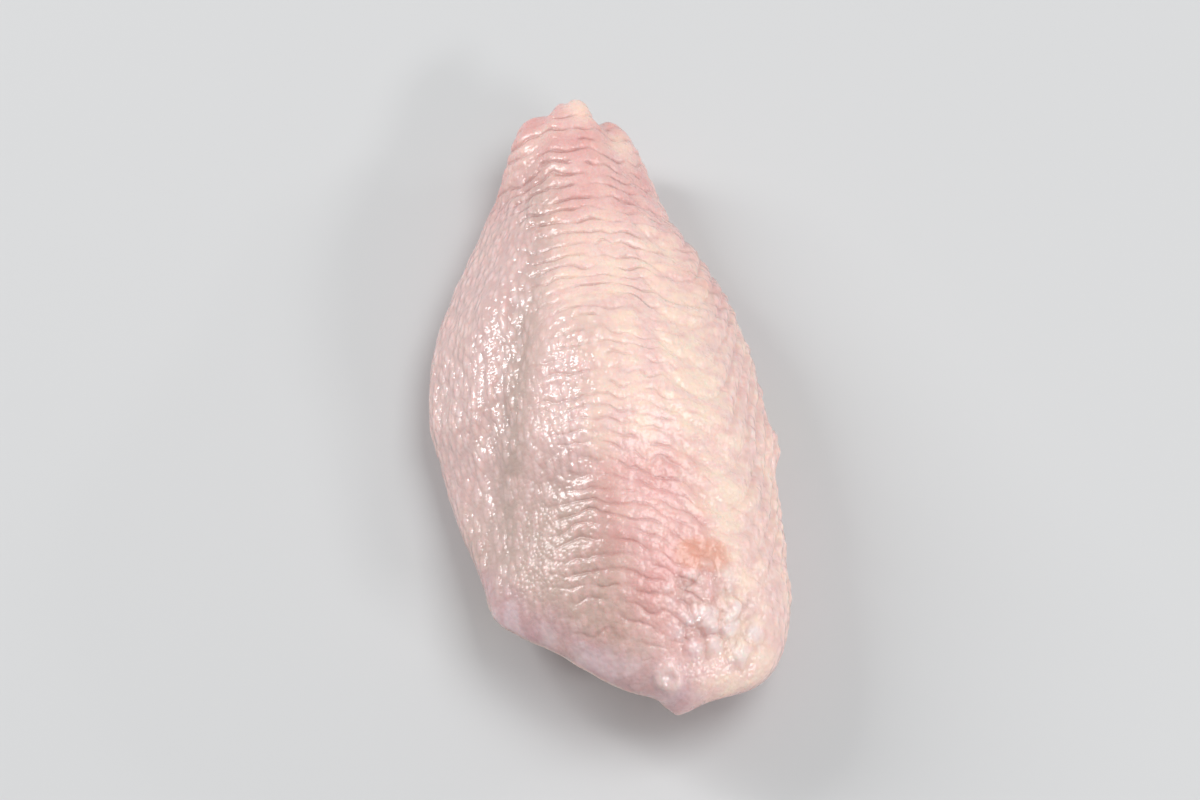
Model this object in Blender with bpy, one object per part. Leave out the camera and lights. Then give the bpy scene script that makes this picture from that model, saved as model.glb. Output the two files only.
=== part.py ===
"""A raw chicken wing flat, the middle joint of the wing: flesh in its skin round two bones.

It lies on its inner side with the ridged outer side up. +Y points to the wrist, -Y to the elbow,
+X to the trailing edge where the flight feathers grew, and -X to the thin leading edge.
The origin is at the middle of the box round the wing, on the surface that it rests on.
"""

import math

import bmesh
import bpy
import numpy as np
from mathutils import Vector

# Lengths are in millimetres until a mesh is made from them.
MM = 0.001

# Each row is a place along the wing, then the leading edge, the trailing edge, the crown of the
# back and the lowest point of the belly there. A belly below zero is pressed flat where it rests.
STATIONS = (
    (-20.0, -22.6, 16.4, 21.6, -0.6),
    (-12.0, -23.2, 16.8, 22.6, -1.3),
    (-4.0, -23.6, 17.0, 22.6, -1.6),
    (4.0, -23.2, 16.3, 21.4, -1.4),
    (11.0, -21.8, 14.8, 19.8, -1.0),
    (17.0, -19.2, 12.5, 18.2, -0.7),
    (23.0, -15.8, 9.7, 16.4, -0.3),
    (29.0, -12.4, 8.2, 14.6, 0.5),
)
LEADING_EDGE_HEIGHT = 5.2
TRAILING_EDGE_HEIGHT = 9.0
EDGE_SHARE = 0.48

# Across the wing, -1 is the leading edge and 1 the trailing edge. The back falls from its crest to
# both edges, and the blunter the shoulders are, the fuller it is. The belly is hollow between the bones.
CREST = 0.12
LEADING_FALL = 1.0
TRAILING_FALL = 1.18
SHOULDERS = 2.4
HOLLOW_PLACE = -0.2
HOLLOW_DEPTH = 1.6
THIN_FOLD = 0.75

# Two slow waves make the back uneven: height, turns along, turns across and where it starts.
UNEVEN = ((0.30, 0.21, 3.1, 0.6), (0.18, 0.47, -4.3, 0.0))

# The elbow is cut on the slant, so the rings near it are skewed towards the trailing side.
ELBOW_SKEW = 0.55
SKEW_REACH = 26.0

# A nick of skin stands out of the trailing edge, and a row of large follicles runs beside it.
SPUR_PLACE = -5.2
SPUR_REACH = 1.3
FOLLICLE_PITCH = 6.2
FOLLICLE_HEIGHT = 0.6
FOLLICLE_ROW = 0.74
FOLLICLE_WIDTH = 0.22

# The leading edge is a soft fold, and a groove that crosses slantwise parts it from the main muscle.
FOLD_HEIGHT = 1.2
GROOVE_DEPTH = 1.5
GROOVE_PLACE = -0.49
GROOVE_SLANT = 0.0115

SKIN = 1.3
BONE_GAP = 0.3

BODY_RINGS = 48
CLOSING_RINGS = 8
FLAP_START = 0.75
SIDES = 64
BONE_SIDES = 14
ANGLES = np.linspace(0, 2 * math.pi, SIDES, endpoint=False)

# Each colour is linear red, green and blue.
SKIN_COLOUR = (0.81, 0.57, 0.52)
BONE_COLOUR = (0.74, 0.76, 0.80)


def smooth_step(x):
    """0 up to x = 0, 1 from x = 1, and an even rise between them."""
    x = np.clip(x, 0.0, 1.0)
    return x * x * (3.0 - 2.0 * x)


def hump(x, centre, width):
    """A smooth bump of height 1."""
    return np.exp(-(((x - centre) / width) ** 2))


def angle_hump(angle, centre_deg, width_deg):
    """A smooth bump of height 1 round an angle, counted the short way round."""
    away = (angle - math.radians(centre_deg) + math.pi) % (2 * math.pi) - math.pi
    return np.exp(-((away / math.radians(width_deg)) ** 2))


def curve_through(keys, values, x):
    """A smooth curve through the key points, read at x."""
    slopes = np.gradient(values, keys)
    i = np.clip(np.searchsorted(keys, x) - 1, 0, len(keys) - 2)
    span = keys[i + 1] - keys[i]
    u = (x - keys[i]) / span
    return (
        (1 + 2 * u) * (1 - u) ** 2 * values[i]
        + u * (1 - u) ** 2 * span * slopes[i]
        + u * u * (3 - 2 * u) * values[i + 1]
        + u * u * (u - 1) * span * slopes[i + 1]
    )


def fuller(wave):
    """A sine or cosine with blunter turns, which makes a fuller oval."""
    return np.sign(wave) * np.abs(wave) ** 0.8


def unit(vectors):
    """The vectors, each made 1 long."""
    return vectors / np.linalg.norm(vectors, axis=-1, keepdims=True)


def in_middle(s):
    """1 along the middle of the wing, falling to 0 towards both ends."""
    return 1 - smooth_step((abs(s + 1) - 10) / 16)


def leading_fold(s, across):
    """The height that the fold and the groove of the leading side add to the back."""
    groove_place = GROOVE_PLACE + GROOVE_SLANT * s
    fold = FOLD_HEIGHT * hump(across, (groove_place - 1) / 2, 0.16)
    groove = GROOVE_DEPTH * hump(across, groove_place, 0.13)
    return in_middle(s) * (fold - groove)


def follicle_row(s, across):
    """The height that the row of large follicles adds to the back."""
    along = smooth_step((s + 34) / 10) * (1 - smooth_step((s - 14) / 12))
    row = FOLLICLE_HEIGHT * hump(across, FOLLICLE_ROW, FOLLICLE_WIDTH) * along
    return row * math.cos(2 * math.pi * s / FOLLICLE_PITCH)


def section(s):
    """The ring of the skin at the place s along the wing, from the trailing edge over the back."""
    keys, *columns = (np.array(column) for column in zip(*STATIONS))
    lead, trail, crown, low = (curve_through(keys, column, s) for column in columns)
    across, up = np.cos(ANGLES), np.sin(ANGLES)
    x = (trail + lead) / 2 + (trail - lead) / 2 * across

    share = (across + 1) / 2
    edge = LEADING_EDGE_HEIGHT + (TRAILING_EDGE_HEIGHT - LEADING_EDGE_HEIGHT) * share
    edge = np.minimum(edge, EDGE_SHARE * crown)
    fall = np.where(across < CREST, LEADING_FALL, TRAILING_FALL)
    back = (crown - edge) * np.exp(-(np.abs((across - CREST) / fall) ** SHOULDERS))
    back += leading_fold(s, across) + follicle_row(s, across)
    for height, along_turns, across_turns, start in UNEVEN:
        back += height * np.sin(along_turns * s + across_turns * across + start)

    fold = THIN_FOLD + (1 - THIN_FOLD) * smooth_step((across + 1) / 0.5)
    hollow = in_middle(s) * HOLLOW_DEPTH * hump(across, HOLLOW_PLACE, 0.22)
    belly = (edge - low) * fold - hollow
    lift = up * (1.22 - 0.22 * up**2)
    z = edge + np.where(up > 0, back, belly) * lift
    x = x + SPUR_REACH * hump(s, SPUR_PLACE, 1.5) * angle_hump(ANGLES, 2, 13)
    skew = ELBOW_SKEW * (1 - smooth_step((s - STATIONS[0][0]) / SKEW_REACH))
    return np.column_stack([x, s - skew * x, z])


class Cut:
    """The cut face of one end: an oval in a tilted plane, with the skin's lip and a flap on it."""

    def __init__(self, middle, outward, side, half_width, half_height, lip, flap, curl, fullness):
        self.middle = np.array(middle)
        self.outward = unit(np.array(outward))
        self.side = unit(np.array(side) - self.outward * (self.outward @ side))
        up = np.cross(self.side, self.outward)
        self.up = up * math.copysign(1, up[2])
        self.half_width, self.half_height = half_width, half_height
        self.lip, self.curl, self.fullness = lip, curl, fullness
        self.flap = np.outer(flap, self.side + self.outward)

    def ring(self, inset=0.0, depth=0.0, share=1.0, lip_share=0.0, flap_share=0.0):
        """A ring round the cut, inset from the lip and sunk below it."""
        wide = np.outer((self.half_width - inset) * share * fuller(np.cos(ANGLES)), self.side)
        high = np.outer((self.half_height - inset) * share * fuller(np.sin(ANGLES)), self.up)
        out = np.outer(self.lip * lip_share - depth, self.outward)
        return self.middle + wide + high + out + self.flap * flap_share

    def point(self, across, depth):
        """A point of the cut's middle line, sunk below the lip."""
        return self.middle + self.side * across - self.outward * depth

    def skin_way(self):
        """The way in which the skin arrives at each point of the lip: outwards, and curling inwards."""
        inwards = unit(self.middle - self.ring())
        return unit(inwards * self.curl[:, None] + self.outward * (1 - self.curl[:, None]))


ELBOW_CUT = Cut(
    middle=(-9.1, -32.8, 8.4),
    outward=(-0.54, -0.76, -0.50),
    side=(0.80, -0.58, 0.17),
    half_width=12.8,
    half_height=6.2,
    lip=(
        0.4 * np.sin(2 * ANGLES + 0.6)
        + 0.3 * np.sin(5 * ANGLES + 1.9)
        + 1.0 * angle_hump(ANGLES, 114, 30)
        - 1.2 * angle_hump(ANGLES, -20, 22)
    ),
    flap=1.25 * angle_hump(ANGLES, 1, 10),
    curl=0.45 + 0.35 * angle_hump(ANGLES, -5, 60),
    fullness=1.22 + 0.12 * angle_hump(ANGLES, -5, 55),
)
WRIST_CUT = Cut(
    middle=(-1.45, 36.5, 6.4),
    outward=(0.0, 0.90, -0.43),
    side=(1.0, 0.0, 0.0),
    half_width=5.9,
    half_height=4.1,
    lip=(
        0.4 * np.sin(2 * ANGLES + 2.2)
        + 0.3 * np.sin(5 * ANGLES + 0.4)
        + 1.7 * angle_hump(ANGLES, 127, 35)
        + 2.6 * angle_hump(ANGLES, 84, 14)
        - 1.6 * angle_hump(ANGLES, 60, 8)
    ),
    flap=np.zeros(SIDES),
    curl=np.full(SIDES, 0.7),
    fullness=np.ones(SIDES),
)


def closing_rings(before, last, cut):
    """Rings that round the skin off from the last full section to the lip of the cut."""
    lip = cut.ring(lip_share=1.0)
    reach = np.linalg.norm(lip - last, axis=1, keepdims=True)
    start_way = unit(last - before) * (1, 1, 0.35) * reach * cut.fullness[:, None]
    end_way = cut.skin_way() * reach * (0.5 + 0.25 * cut.curl[:, None])
    rings = []
    for u in np.linspace(0, 1, CLOSING_RINGS + 1)[1:]:
        rings.append(
            (1 + 2 * u) * (1 - u) ** 2 * last
            + u * (1 - u) ** 2 * start_way
            + u * u * (3 - 2 * u) * lip
            + u * u * (u - 1) * end_way
            + smooth_step((u - FLAP_START) / (1 - FLAP_START)) * cut.flap
        )
    return rings


def face_rings(cut):
    """Rings from the lip of a cut over the edge of the skin and in across the meat."""
    return [
        cut.ring(inset=SKIN * 0.5, lip_share=1.0, depth=-0.1, flap_share=0.95),
        cut.ring(inset=SKIN, lip_share=0.8, depth=0.5, flap_share=0.4),
        cut.ring(inset=SKIN * 1.1, depth=1.8),
        cut.ring(inset=SKIN, depth=2.8, share=0.86),
        cut.ring(inset=SKIN, depth=2.4, share=0.58),
        cut.ring(inset=SKIN, depth=2.2, share=0.26),
    ]


def flesh_rings():
    """The rings of the flesh, from the middle of the elbow's cut to the middle of the wrist's."""
    first, last = STATIONS[0][0], STATIONS[-1][0]
    sections = [section(s) for s in np.linspace(first, last, BODY_RINGS)]
    elbow = closing_rings(sections[4], sections[0], ELBOW_CUT) + face_rings(ELBOW_CUT)
    wrist = closing_rings(sections[-5], sections[-1], WRIST_CUT) + face_rings(WRIST_CUT)
    rings = elbow[::-1] + sections + wrist
    for ring in rings:
        ring[:, 2] = np.maximum(ring[:, 2], 0.0)
    return rings


class Bone:
    """A bone: a bowed shaft that swells to a knuckle at each end."""

    def __init__(self, elbow, wrist, bow, shaft, elbow_knuckle, wrist_knuckle):
        self.elbow, self.wrist, self.bow = (np.array(p, float) for p in (elbow, wrist, bow))
        self.shaft, self.elbow_knuckle, self.wrist_knuckle = shaft, elbow_knuckle, wrist_knuckle

    def rings(self, grown=0.0):
        """Rings from the elbow to the wrist. grown makes the bone thicker and longer, for a cutter."""
        length = np.linalg.norm(self.wrist - self.elbow)
        line = (self.wrist - self.elbow) / length
        angles = np.linspace(0, 2 * math.pi, BONE_SIDES, endpoint=False)
        share = 1 - np.cos(np.linspace(0.16, math.pi / 2, 5))
        near, far = share * self.elbow_knuckle[1], length - share[::-1] * self.wrist_knuckle[1]
        shaft = np.linspace(near[-1], far[0], 12)[1:-1]
        rings = []
        for along in [*near, *shaft, *far]:
            u = along / length
            to_elbow, to_wrist = along, length - along
            at_elbow, at_wrist = math.exp(-((to_elbow / 9.0) ** 2)), math.exp(-((to_wrist / 7.0) ** 2))
            wide, high = (
                self.shaft + (a - self.shaft) * at_elbow + (b - self.shaft) * at_wrist
                for a, b in zip(self.elbow_knuckle, self.wrist_knuckle)
            )
            elbow_dome = math.sqrt(1 - (1 - min(to_elbow / self.elbow_knuckle[1], 1.0)) ** 2)
            wrist_dome = math.sqrt(1 - (1 - min(to_wrist / self.wrist_knuckle[1], 1.0)) ** 2)
            push = grown * (elbow_dome - wrist_dome)
            at = self.elbow + line * (along + push) + self.bow * 4 * u * (1 - u)
            dome = elbow_dome * wrist_dome
            x = np.cos(angles) * (wide * dome + grown)
            z = np.sin(angles) * (high * dome + grown)
            rings.append(np.column_stack([at[0] + x, np.full(BONE_SIDES, at[1]), at[2] + z]))
        return rings


ULNA = Bone(
    elbow=ELBOW_CUT.point(4.6, 0.8),
    wrist=WRIST_CUT.point(2.5, -0.4),
    bow=(7.0, 0, 1.8),
    shaft=2.6,
    elbow_knuckle=(4.8, 4.0),
    wrist_knuckle=(2.4, 2.4),
)
RADIUS = Bone(
    elbow=ELBOW_CUT.point(-4.8, 0.8),
    wrist=WRIST_CUT.point(-2.6, 0.0),
    bow=(-3.0, 0, 1.4),
    shaft=1.6,
    elbow_knuckle=(3.2, 2.9),
    wrist_knuckle=(1.8, 1.8),
)


def loft(name, rings, place):
    """An object over a row of rings that have the same number of points, closed at both ends."""
    mesh = bmesh.new()
    loops = [[mesh.verts.new(Vector(point) * MM) for point in ring] for ring in rings]
    for a, b in zip(loops, loops[1:]):
        for i in range(len(a)):
            mesh.faces.new((a[i - 1], b[i - 1], b[i], a[i]))
    mesh.faces.new(loops[0])
    mesh.faces.new(loops[-1])
    bmesh.ops.recalc_face_normals(mesh, faces=mesh.faces)
    data = bpy.data.meshes.new(name)
    mesh.to_mesh(data)
    mesh.free()
    data.shade_smooth()
    obj = bpy.data.objects.new(name, data)
    obj.location = place
    return obj


def material(name, colour, roughness):
    """A plain wet finish."""
    made = bpy.data.materials.new(name)
    made.use_nodes = True
    shader = made.node_tree.nodes["Principled BSDF"]
    shader.inputs["Base Color"].default_value = (*colour, 1)
    shader.inputs["Roughness"].default_value = roughness
    shader.inputs["Metallic"].default_value = 0.0
    return made


def collection(name):
    """A new collection in the scene."""
    made = bpy.data.collections.new(name)
    bpy.context.scene.collection.children.link(made)
    return made


def make_bone(name, bone, flesh, place, parts, cutters):
    """The bone as an object, and the hole for it, cut through the flesh with a gap all round."""
    obj = loft(name, bone.rings(), place)
    obj.data.materials.append(material(name, BONE_COLOUR, 0.3))
    parts.objects.link(obj)
    cutter = loft(name + "_hole", bone.rings(grown=BONE_GAP), place)
    cutter.hide_render = True
    cutter.display_type = "WIRE"
    cutters.objects.link(cutter)
    hole = flesh.modifiers.new(name + "_hole", "BOOLEAN")
    hole.operation = "DIFFERENCE"
    hole.solver = "EXACT"
    hole.object = cutter


def main():
    for obj in list(bpy.data.objects):
        bpy.data.objects.remove(obj, do_unlink=True)
    parts, cutters = collection("chicken_wing_flat"), collection("cutters")
    rings = flesh_rings()
    corners = np.concatenate(rings)
    middle = (corners.min(axis=0) + corners.max(axis=0)) / 2
    place = Vector((-middle[0], -middle[1], -corners[:, 2].min())) * MM
    flesh = loft("flesh", rings, place)
    flesh.data.materials.append(material("flesh", SKIN_COLOUR, 0.4))
    parts.objects.link(flesh)
    make_bone("ulna", ULNA, flesh, place, parts, cutters)
    make_bone("radius", RADIUS, flesh, place, parts, cutters)


main()
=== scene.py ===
"""A raw chicken wing flat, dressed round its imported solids.

The flesh becomes a fine mesh with its rows of follicles, its wrinkles and its cut muscle, and both
bones get their gristle. Fat, sinews and blood lie in the cuts. Lengths are in millimetres until a
mesh is written. +Y runs to the wrist, +X to the trailing edge, and +Z is up.
"""

from __future__ import annotations

import logging
import math
from dataclasses import dataclass, field
from enum import Enum
from typing import Any

import bmesh
import bpy
import numpy as np
from mathutils import Matrix, Vector
from mathutils.bvhtree import BVHTree

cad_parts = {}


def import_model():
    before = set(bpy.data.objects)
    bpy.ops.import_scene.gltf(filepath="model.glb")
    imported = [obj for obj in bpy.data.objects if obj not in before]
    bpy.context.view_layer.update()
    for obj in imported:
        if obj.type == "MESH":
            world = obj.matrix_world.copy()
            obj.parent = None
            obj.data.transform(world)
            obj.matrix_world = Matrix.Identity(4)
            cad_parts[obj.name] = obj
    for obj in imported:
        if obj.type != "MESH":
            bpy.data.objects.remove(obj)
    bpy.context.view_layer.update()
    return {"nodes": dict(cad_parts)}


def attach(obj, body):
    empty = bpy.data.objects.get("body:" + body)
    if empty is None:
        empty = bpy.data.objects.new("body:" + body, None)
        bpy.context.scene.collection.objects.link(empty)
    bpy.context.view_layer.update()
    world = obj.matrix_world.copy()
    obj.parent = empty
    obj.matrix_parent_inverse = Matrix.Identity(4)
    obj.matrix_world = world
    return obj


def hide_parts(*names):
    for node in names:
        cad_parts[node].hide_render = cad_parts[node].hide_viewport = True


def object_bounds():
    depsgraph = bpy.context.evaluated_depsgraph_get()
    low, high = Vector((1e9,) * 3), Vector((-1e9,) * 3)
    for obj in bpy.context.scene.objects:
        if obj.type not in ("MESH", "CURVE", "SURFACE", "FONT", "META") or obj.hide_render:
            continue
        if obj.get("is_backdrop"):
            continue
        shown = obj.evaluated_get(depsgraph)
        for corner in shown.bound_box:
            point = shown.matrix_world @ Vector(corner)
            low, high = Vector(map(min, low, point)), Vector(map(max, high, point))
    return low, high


Array = np.ndarray
Colour = tuple[float, float, float]
Point = tuple[float, float, float]
Place = tuple[float, float]
# Where a share is 0, and where it is 1
Span = tuple[float, float]

MM = 0.001
BODY = "root"
BONES = ("ulna", "radius")
EVEN = (1.0, 1.0, 1.0)
LOG = logging.getLogger("wing")


def srgb(red: float, green: float, blue: float) -> Colour:
    """The linear colour of a screen colour given from 0 to 255."""
    shares = (red / 255, green / 255, blue / 255)
    return tuple(c / 12.92 if c <= 0.04045 else ((c + 0.055) / 1.055) ** 2.4 for c in shares)


def rise(low: float, high: float, x: Any) -> Any:
    """A smooth rise from 0 at low to 1 at high. It falls where low is above high.

    Args:
        low: where it is 0.
        high: where it is 1.
        x: the values to read it at.

    Returns:
        The height at each value, from 0 to 1.
    """
    share = np.clip((x - low) / (high - low), 0.0, 1.0)
    return share * share * (3 - 2 * share)


def hump(x: Any, centre: float, width: float) -> Any:
    """A smooth bump of height 1 round the centre."""
    return np.exp(-(((x - centre) / width) ** 2))


def plateau(x: Any, start: Span, end: Span) -> Any:
    """1 between two places, rising from 0 over the start's span and falling back over the end's."""
    return rise(*start, x) * rise(*end, x)


class Noise:
    """Seeded noise in space, read at points in millimetres."""

    SIDE = 48

    def __init__(self, seed: int) -> None:
        """Draws the lattice once, so that every reading is the same in each run.

        Args:
            seed: the seed of the draw.
        """
        draw = np.random.default_rng(seed)
        self.lattice = draw.uniform(-1.0, 1.0, (self.SIDE,) * 3)
        self.scatter = draw.uniform(0.15, 0.85, (self.SIDE,) * 3 + (3,))

    def soft(self, points: Array, size: float, layers: int = 1) -> Array:
        """Smooth noise from about -1 to 1.

        Args:
            points: where to read it.
            size: how wide its widest lumps are.
            layers: how many times a finer and weaker layer is added.

        Returns:
            One value for each point.
        """
        total = np.zeros(len(points))
        strength, whole = 1.0, 0.0
        for layer in range(layers):
            total += strength * self._lumps(points / size * 2**layer + 11.7 * layer)
            whole += strength
            strength /= 2
        return total / whole

    def patches(self, points: Array, size: float, limits: Span, layers: int = 1) -> Array:
        """Patches from 0 to 1, where the soft noise rises past the first limit to the second."""
        return rise(*limits, self.soft(points, size, layers))

    def _lumps(self, places: Array) -> Array:
        """One layer of smooth noise.

        Args:
            places: where to read it, on a lattice of whole numbers.

        Returns:
            One value for each place.
        """
        cell = np.floor(places).astype(int)
        share = places - cell
        share = share * share * (3 - 2 * share)
        total = np.zeros(len(places))
        for corner in np.ndindex(2, 2, 2):
            index = (cell + corner) % self.SIDE
            weight = np.prod(np.where(np.array(corner) == 1, share, 1 - share), axis=1)
            total += self.lattice[index[:, 0], index[:, 1], index[:, 2]] * weight
        return total

    def cells(self, points: Array, size: float) -> tuple[Array, Array]:
        """Distances to scattered seeds, one to each cube of the given size.

        Args:
            points: where to read it.
            size: how far apart the seeds are.

        Returns:
            The distance to the nearest seed and to the next one, both as a share of the size.
        """
        places = points / size
        base = np.floor(places).astype(int)
        nearest = np.full(len(points), 9.0)
        second = np.full(len(points), 9.0)
        for step in np.ndindex(3, 3, 3):
            cell = base + step - 1
            index = cell % self.SIDE
            seeds = cell + self.scatter[index[:, 0], index[:, 1], index[:, 2]]
            away = np.linalg.norm(seeds - places, axis=1)
            second = np.minimum(second, np.maximum(nearest, away))
            nearest = np.minimum(nearest, away)
        return nearest, second


NOISE = Noise(seed=11)


class Shade:
    """A number inside a material. Python's operators on it add Math nodes."""

    def __init__(self, sheet: Sheet, socket: bpy.types.NodeSocket) -> None:
        """Wraps one output socket of the sheet."""
        self.sheet = sheet
        self.socket = socket

    def _math(self, operation: str, *values: Any) -> Shade:
        """A Math node over the values, in their order."""
        return self.sheet.add("ShaderNodeMath", {"operation": operation}, dict(enumerate(values)))

    def __add__(self, other: Any) -> Shade:
        """This plus the other."""
        return self._math("ADD", self, other)

    def __radd__(self, other: Any) -> Shade:
        """The other plus this."""
        return self._math("ADD", other, self)

    def __sub__(self, other: Any) -> Shade:
        """This minus the other."""
        return self._math("SUBTRACT", self, other)

    def __rsub__(self, other: Any) -> Shade:
        """The other minus this."""
        return self._math("SUBTRACT", other, self)

    def __mul__(self, other: Any) -> Shade:
        """This times the other."""
        return self._math("MULTIPLY", self, other)

    def __rmul__(self, other: Any) -> Shade:
        """The other times this."""
        return self._math("MULTIPLY", other, self)

    def fold(self) -> Shade:
        """The distance to the nearest whole number."""
        return self._math("PINGPONG", self, 0.5)

    def between(self, low: float, high: float) -> Shade:
        """A smooth rise from 0 where this is low to 1 where it is high."""
        values = {"Value": self, "From Min": low, "From Max": high, "To Min": 0.0, "To Max": 1.0}
        return self.sheet.add("ShaderNodeMapRange", {"interpolation_type": "SMOOTHSTEP"}, values)


class Sheet:
    """The nodes of one material."""

    def __init__(self, name: str) -> None:
        """Starts a material with an empty node tree.

        Args:
            name: its name.
        """
        self.material = bpy.data.materials.new(name)
        self.material.use_nodes = True
        self.tree = self.material.node_tree
        self.tree.nodes.clear()

    def add(self, kind: str, settings: dict[str, Any], values: dict[Any, Any], out: int = 0) -> Shade:
        """Adds one node.

        Args:
            kind: the node's type.
            settings: its properties, which are set first.
            values: a value or a Shade for each socket, by name or by number.
            out: which output to return.

        Returns:
            The node's output, as a Shade.
        """
        node = self.tree.nodes.new(kind)
        for name, setting in settings.items():
            setattr(node, name, setting)
        for name, value in values.items():
            socket = node.inputs[name]
            if isinstance(value, Shade):
                self.tree.links.new(value.socket, socket)
            elif socket.type == "RGBA":
                socket.default_value = (*value, 1.0)
            else:
                socket.default_value = value
        return Shade(self, node.outputs[out] if node.outputs else None)

    def mark(self, name: str) -> Shade:
        """The number that the mesh holds at each point under that name."""
        return self.add("ShaderNodeAttribute", {"attribute_name": name}, {}, out=2)

    def place(self, size: float, stretch: Point = EVEN) -> Shade:
        """The point's own place on the piece, counted in steps of a size.

        Args:
            size: the step, in millimetres.
            stretch: how many times longer the step is along each axis.

        Returns:
            The place as a Shade.
        """
        scale = tuple(1.0 / (size * MM * times) for times in stretch)
        own = self.add("ShaderNodeTexCoord", {}, {}, out=3)
        return self.add("ShaderNodeMapping", {}, {"Vector": own, "Scale": scale})

    def noise(self, size: float, detail: float = 2.0, stretch: Point = EVEN) -> Shade:
        """Noise over the piece, from 0 to 1, with lumps of the size and finer layers to the detail."""
        values = {"Vector": self.place(size, stretch), "Scale": 1.0, "Detail": detail}
        return self.add("ShaderNodeTexNoise", {}, values)

    def grains(self, size: float, stretch: Point = EVEN) -> Shade:
        """Rounded grains of the size, from 0 at each one's top up to about 1 between them."""
        values = {"Vector": self.place(size, stretch), "Scale": 1.0}
        return self.add("ShaderNodeTexVoronoi", {"feature": "F1"}, values)

    def blend(self, share: Any, first: Any, second: Any) -> Shade:
        """The first colour, turning into the second as the share goes from 0 to 1."""
        return self.add("ShaderNodeMix", {"data_type": "RGBA"}, {0: share, 6: first, 7: second}, out=2)

    def layers(self, ground: Any, *coats: tuple[Shade, Any]) -> Any:
        """Lays colours over a ground.

        Args:
            ground: the first colour.
            coats: the share from 0 to 1 of each colour over those before it, and the colour.

        Returns:
            The colour of all the layers.
        """
        for share, colour in coats:
            ground = self.blend(share, ground, colour)
        return ground

    def bump(self, height: Any, depth: float, under: Shade | None = None) -> Shade:
        """A normal from a height between 0 and 1.

        Args:
            height: the height over the surface.
            depth: how many millimetres a height of 1 stands for.
            under: a normal that it is laid over.

        Returns:
            The new normal.
        """
        values = {"Strength": 1.0, "Distance": depth * MM, "Height": height}
        if under is not None:
            values["Normal"] = under
        return self.add("ShaderNodeBump", {}, values)


@dataclass(frozen=True)
class Wetness:
    """How a wet, translucent surface takes the light, the same all over it."""

    coat_roughness: float = 0.12
    coat_ior: float = 1.55
    specular: float = 0.42
    subsurface: float = 0.45
    depth: float = 1.8
    tint: Colour = (1.0, 0.42, 0.30)

    def finish(
        self,
        sheet: Sheet,
        colour: Any,
        roughness: Any,
        coat: Any,
        normal: Shade,
    ) -> bpy.types.Material:
        """Closes the sheet with its shader.

        Args:
            sheet: the nodes so far.
            colour: the base colour.
            roughness: how rough the surface is under its wet film.
            coat: how much wet film lies on it.
            normal: the bumped normal.

        Returns:
            The finished material.
        """
        values = {
            "Base Color": colour,
            "Roughness": roughness,
            "Coat Weight": coat,
            "Normal": normal,
            "Coat Roughness": self.coat_roughness,
            "Coat IOR": self.coat_ior,
            "Specular IOR Level": self.specular,
            "Subsurface Weight": self.subsurface,
            "Subsurface Radius": self.tint,
            "Subsurface Scale": self.depth * MM,
        }
        shader = sheet.add("ShaderNodeBsdfPrincipled", {"subsurface_method": "RANDOM_WALK"}, values)
        sheet.add("ShaderNodeOutputMaterial", {}, {"Surface": shader})
        return sheet.material


class Mark(Enum):
    """What the flesh's mesh says about each of its points, from 0 to 1."""

    FURROW = "furrow"
    CREASE = "crease"
    CREAM = "cream"
    PINK = "pink"
    GREY = "grey"
    MAUVE = "mauve"
    TAN = "tan"
    MEAT = "meat"
    RIM = "rim"
    FAT = "fat"
    # Partly blood and partly painted shadow under the lips.
    BLOOD = "blood"
    GRAIN = "grain"
    VEIN = "vein"
    # Pale drop and blister tops, partly painted highlight, and the margin's painted sheen.
    DROP = "drop"


ROW_MARK = "row"


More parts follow.
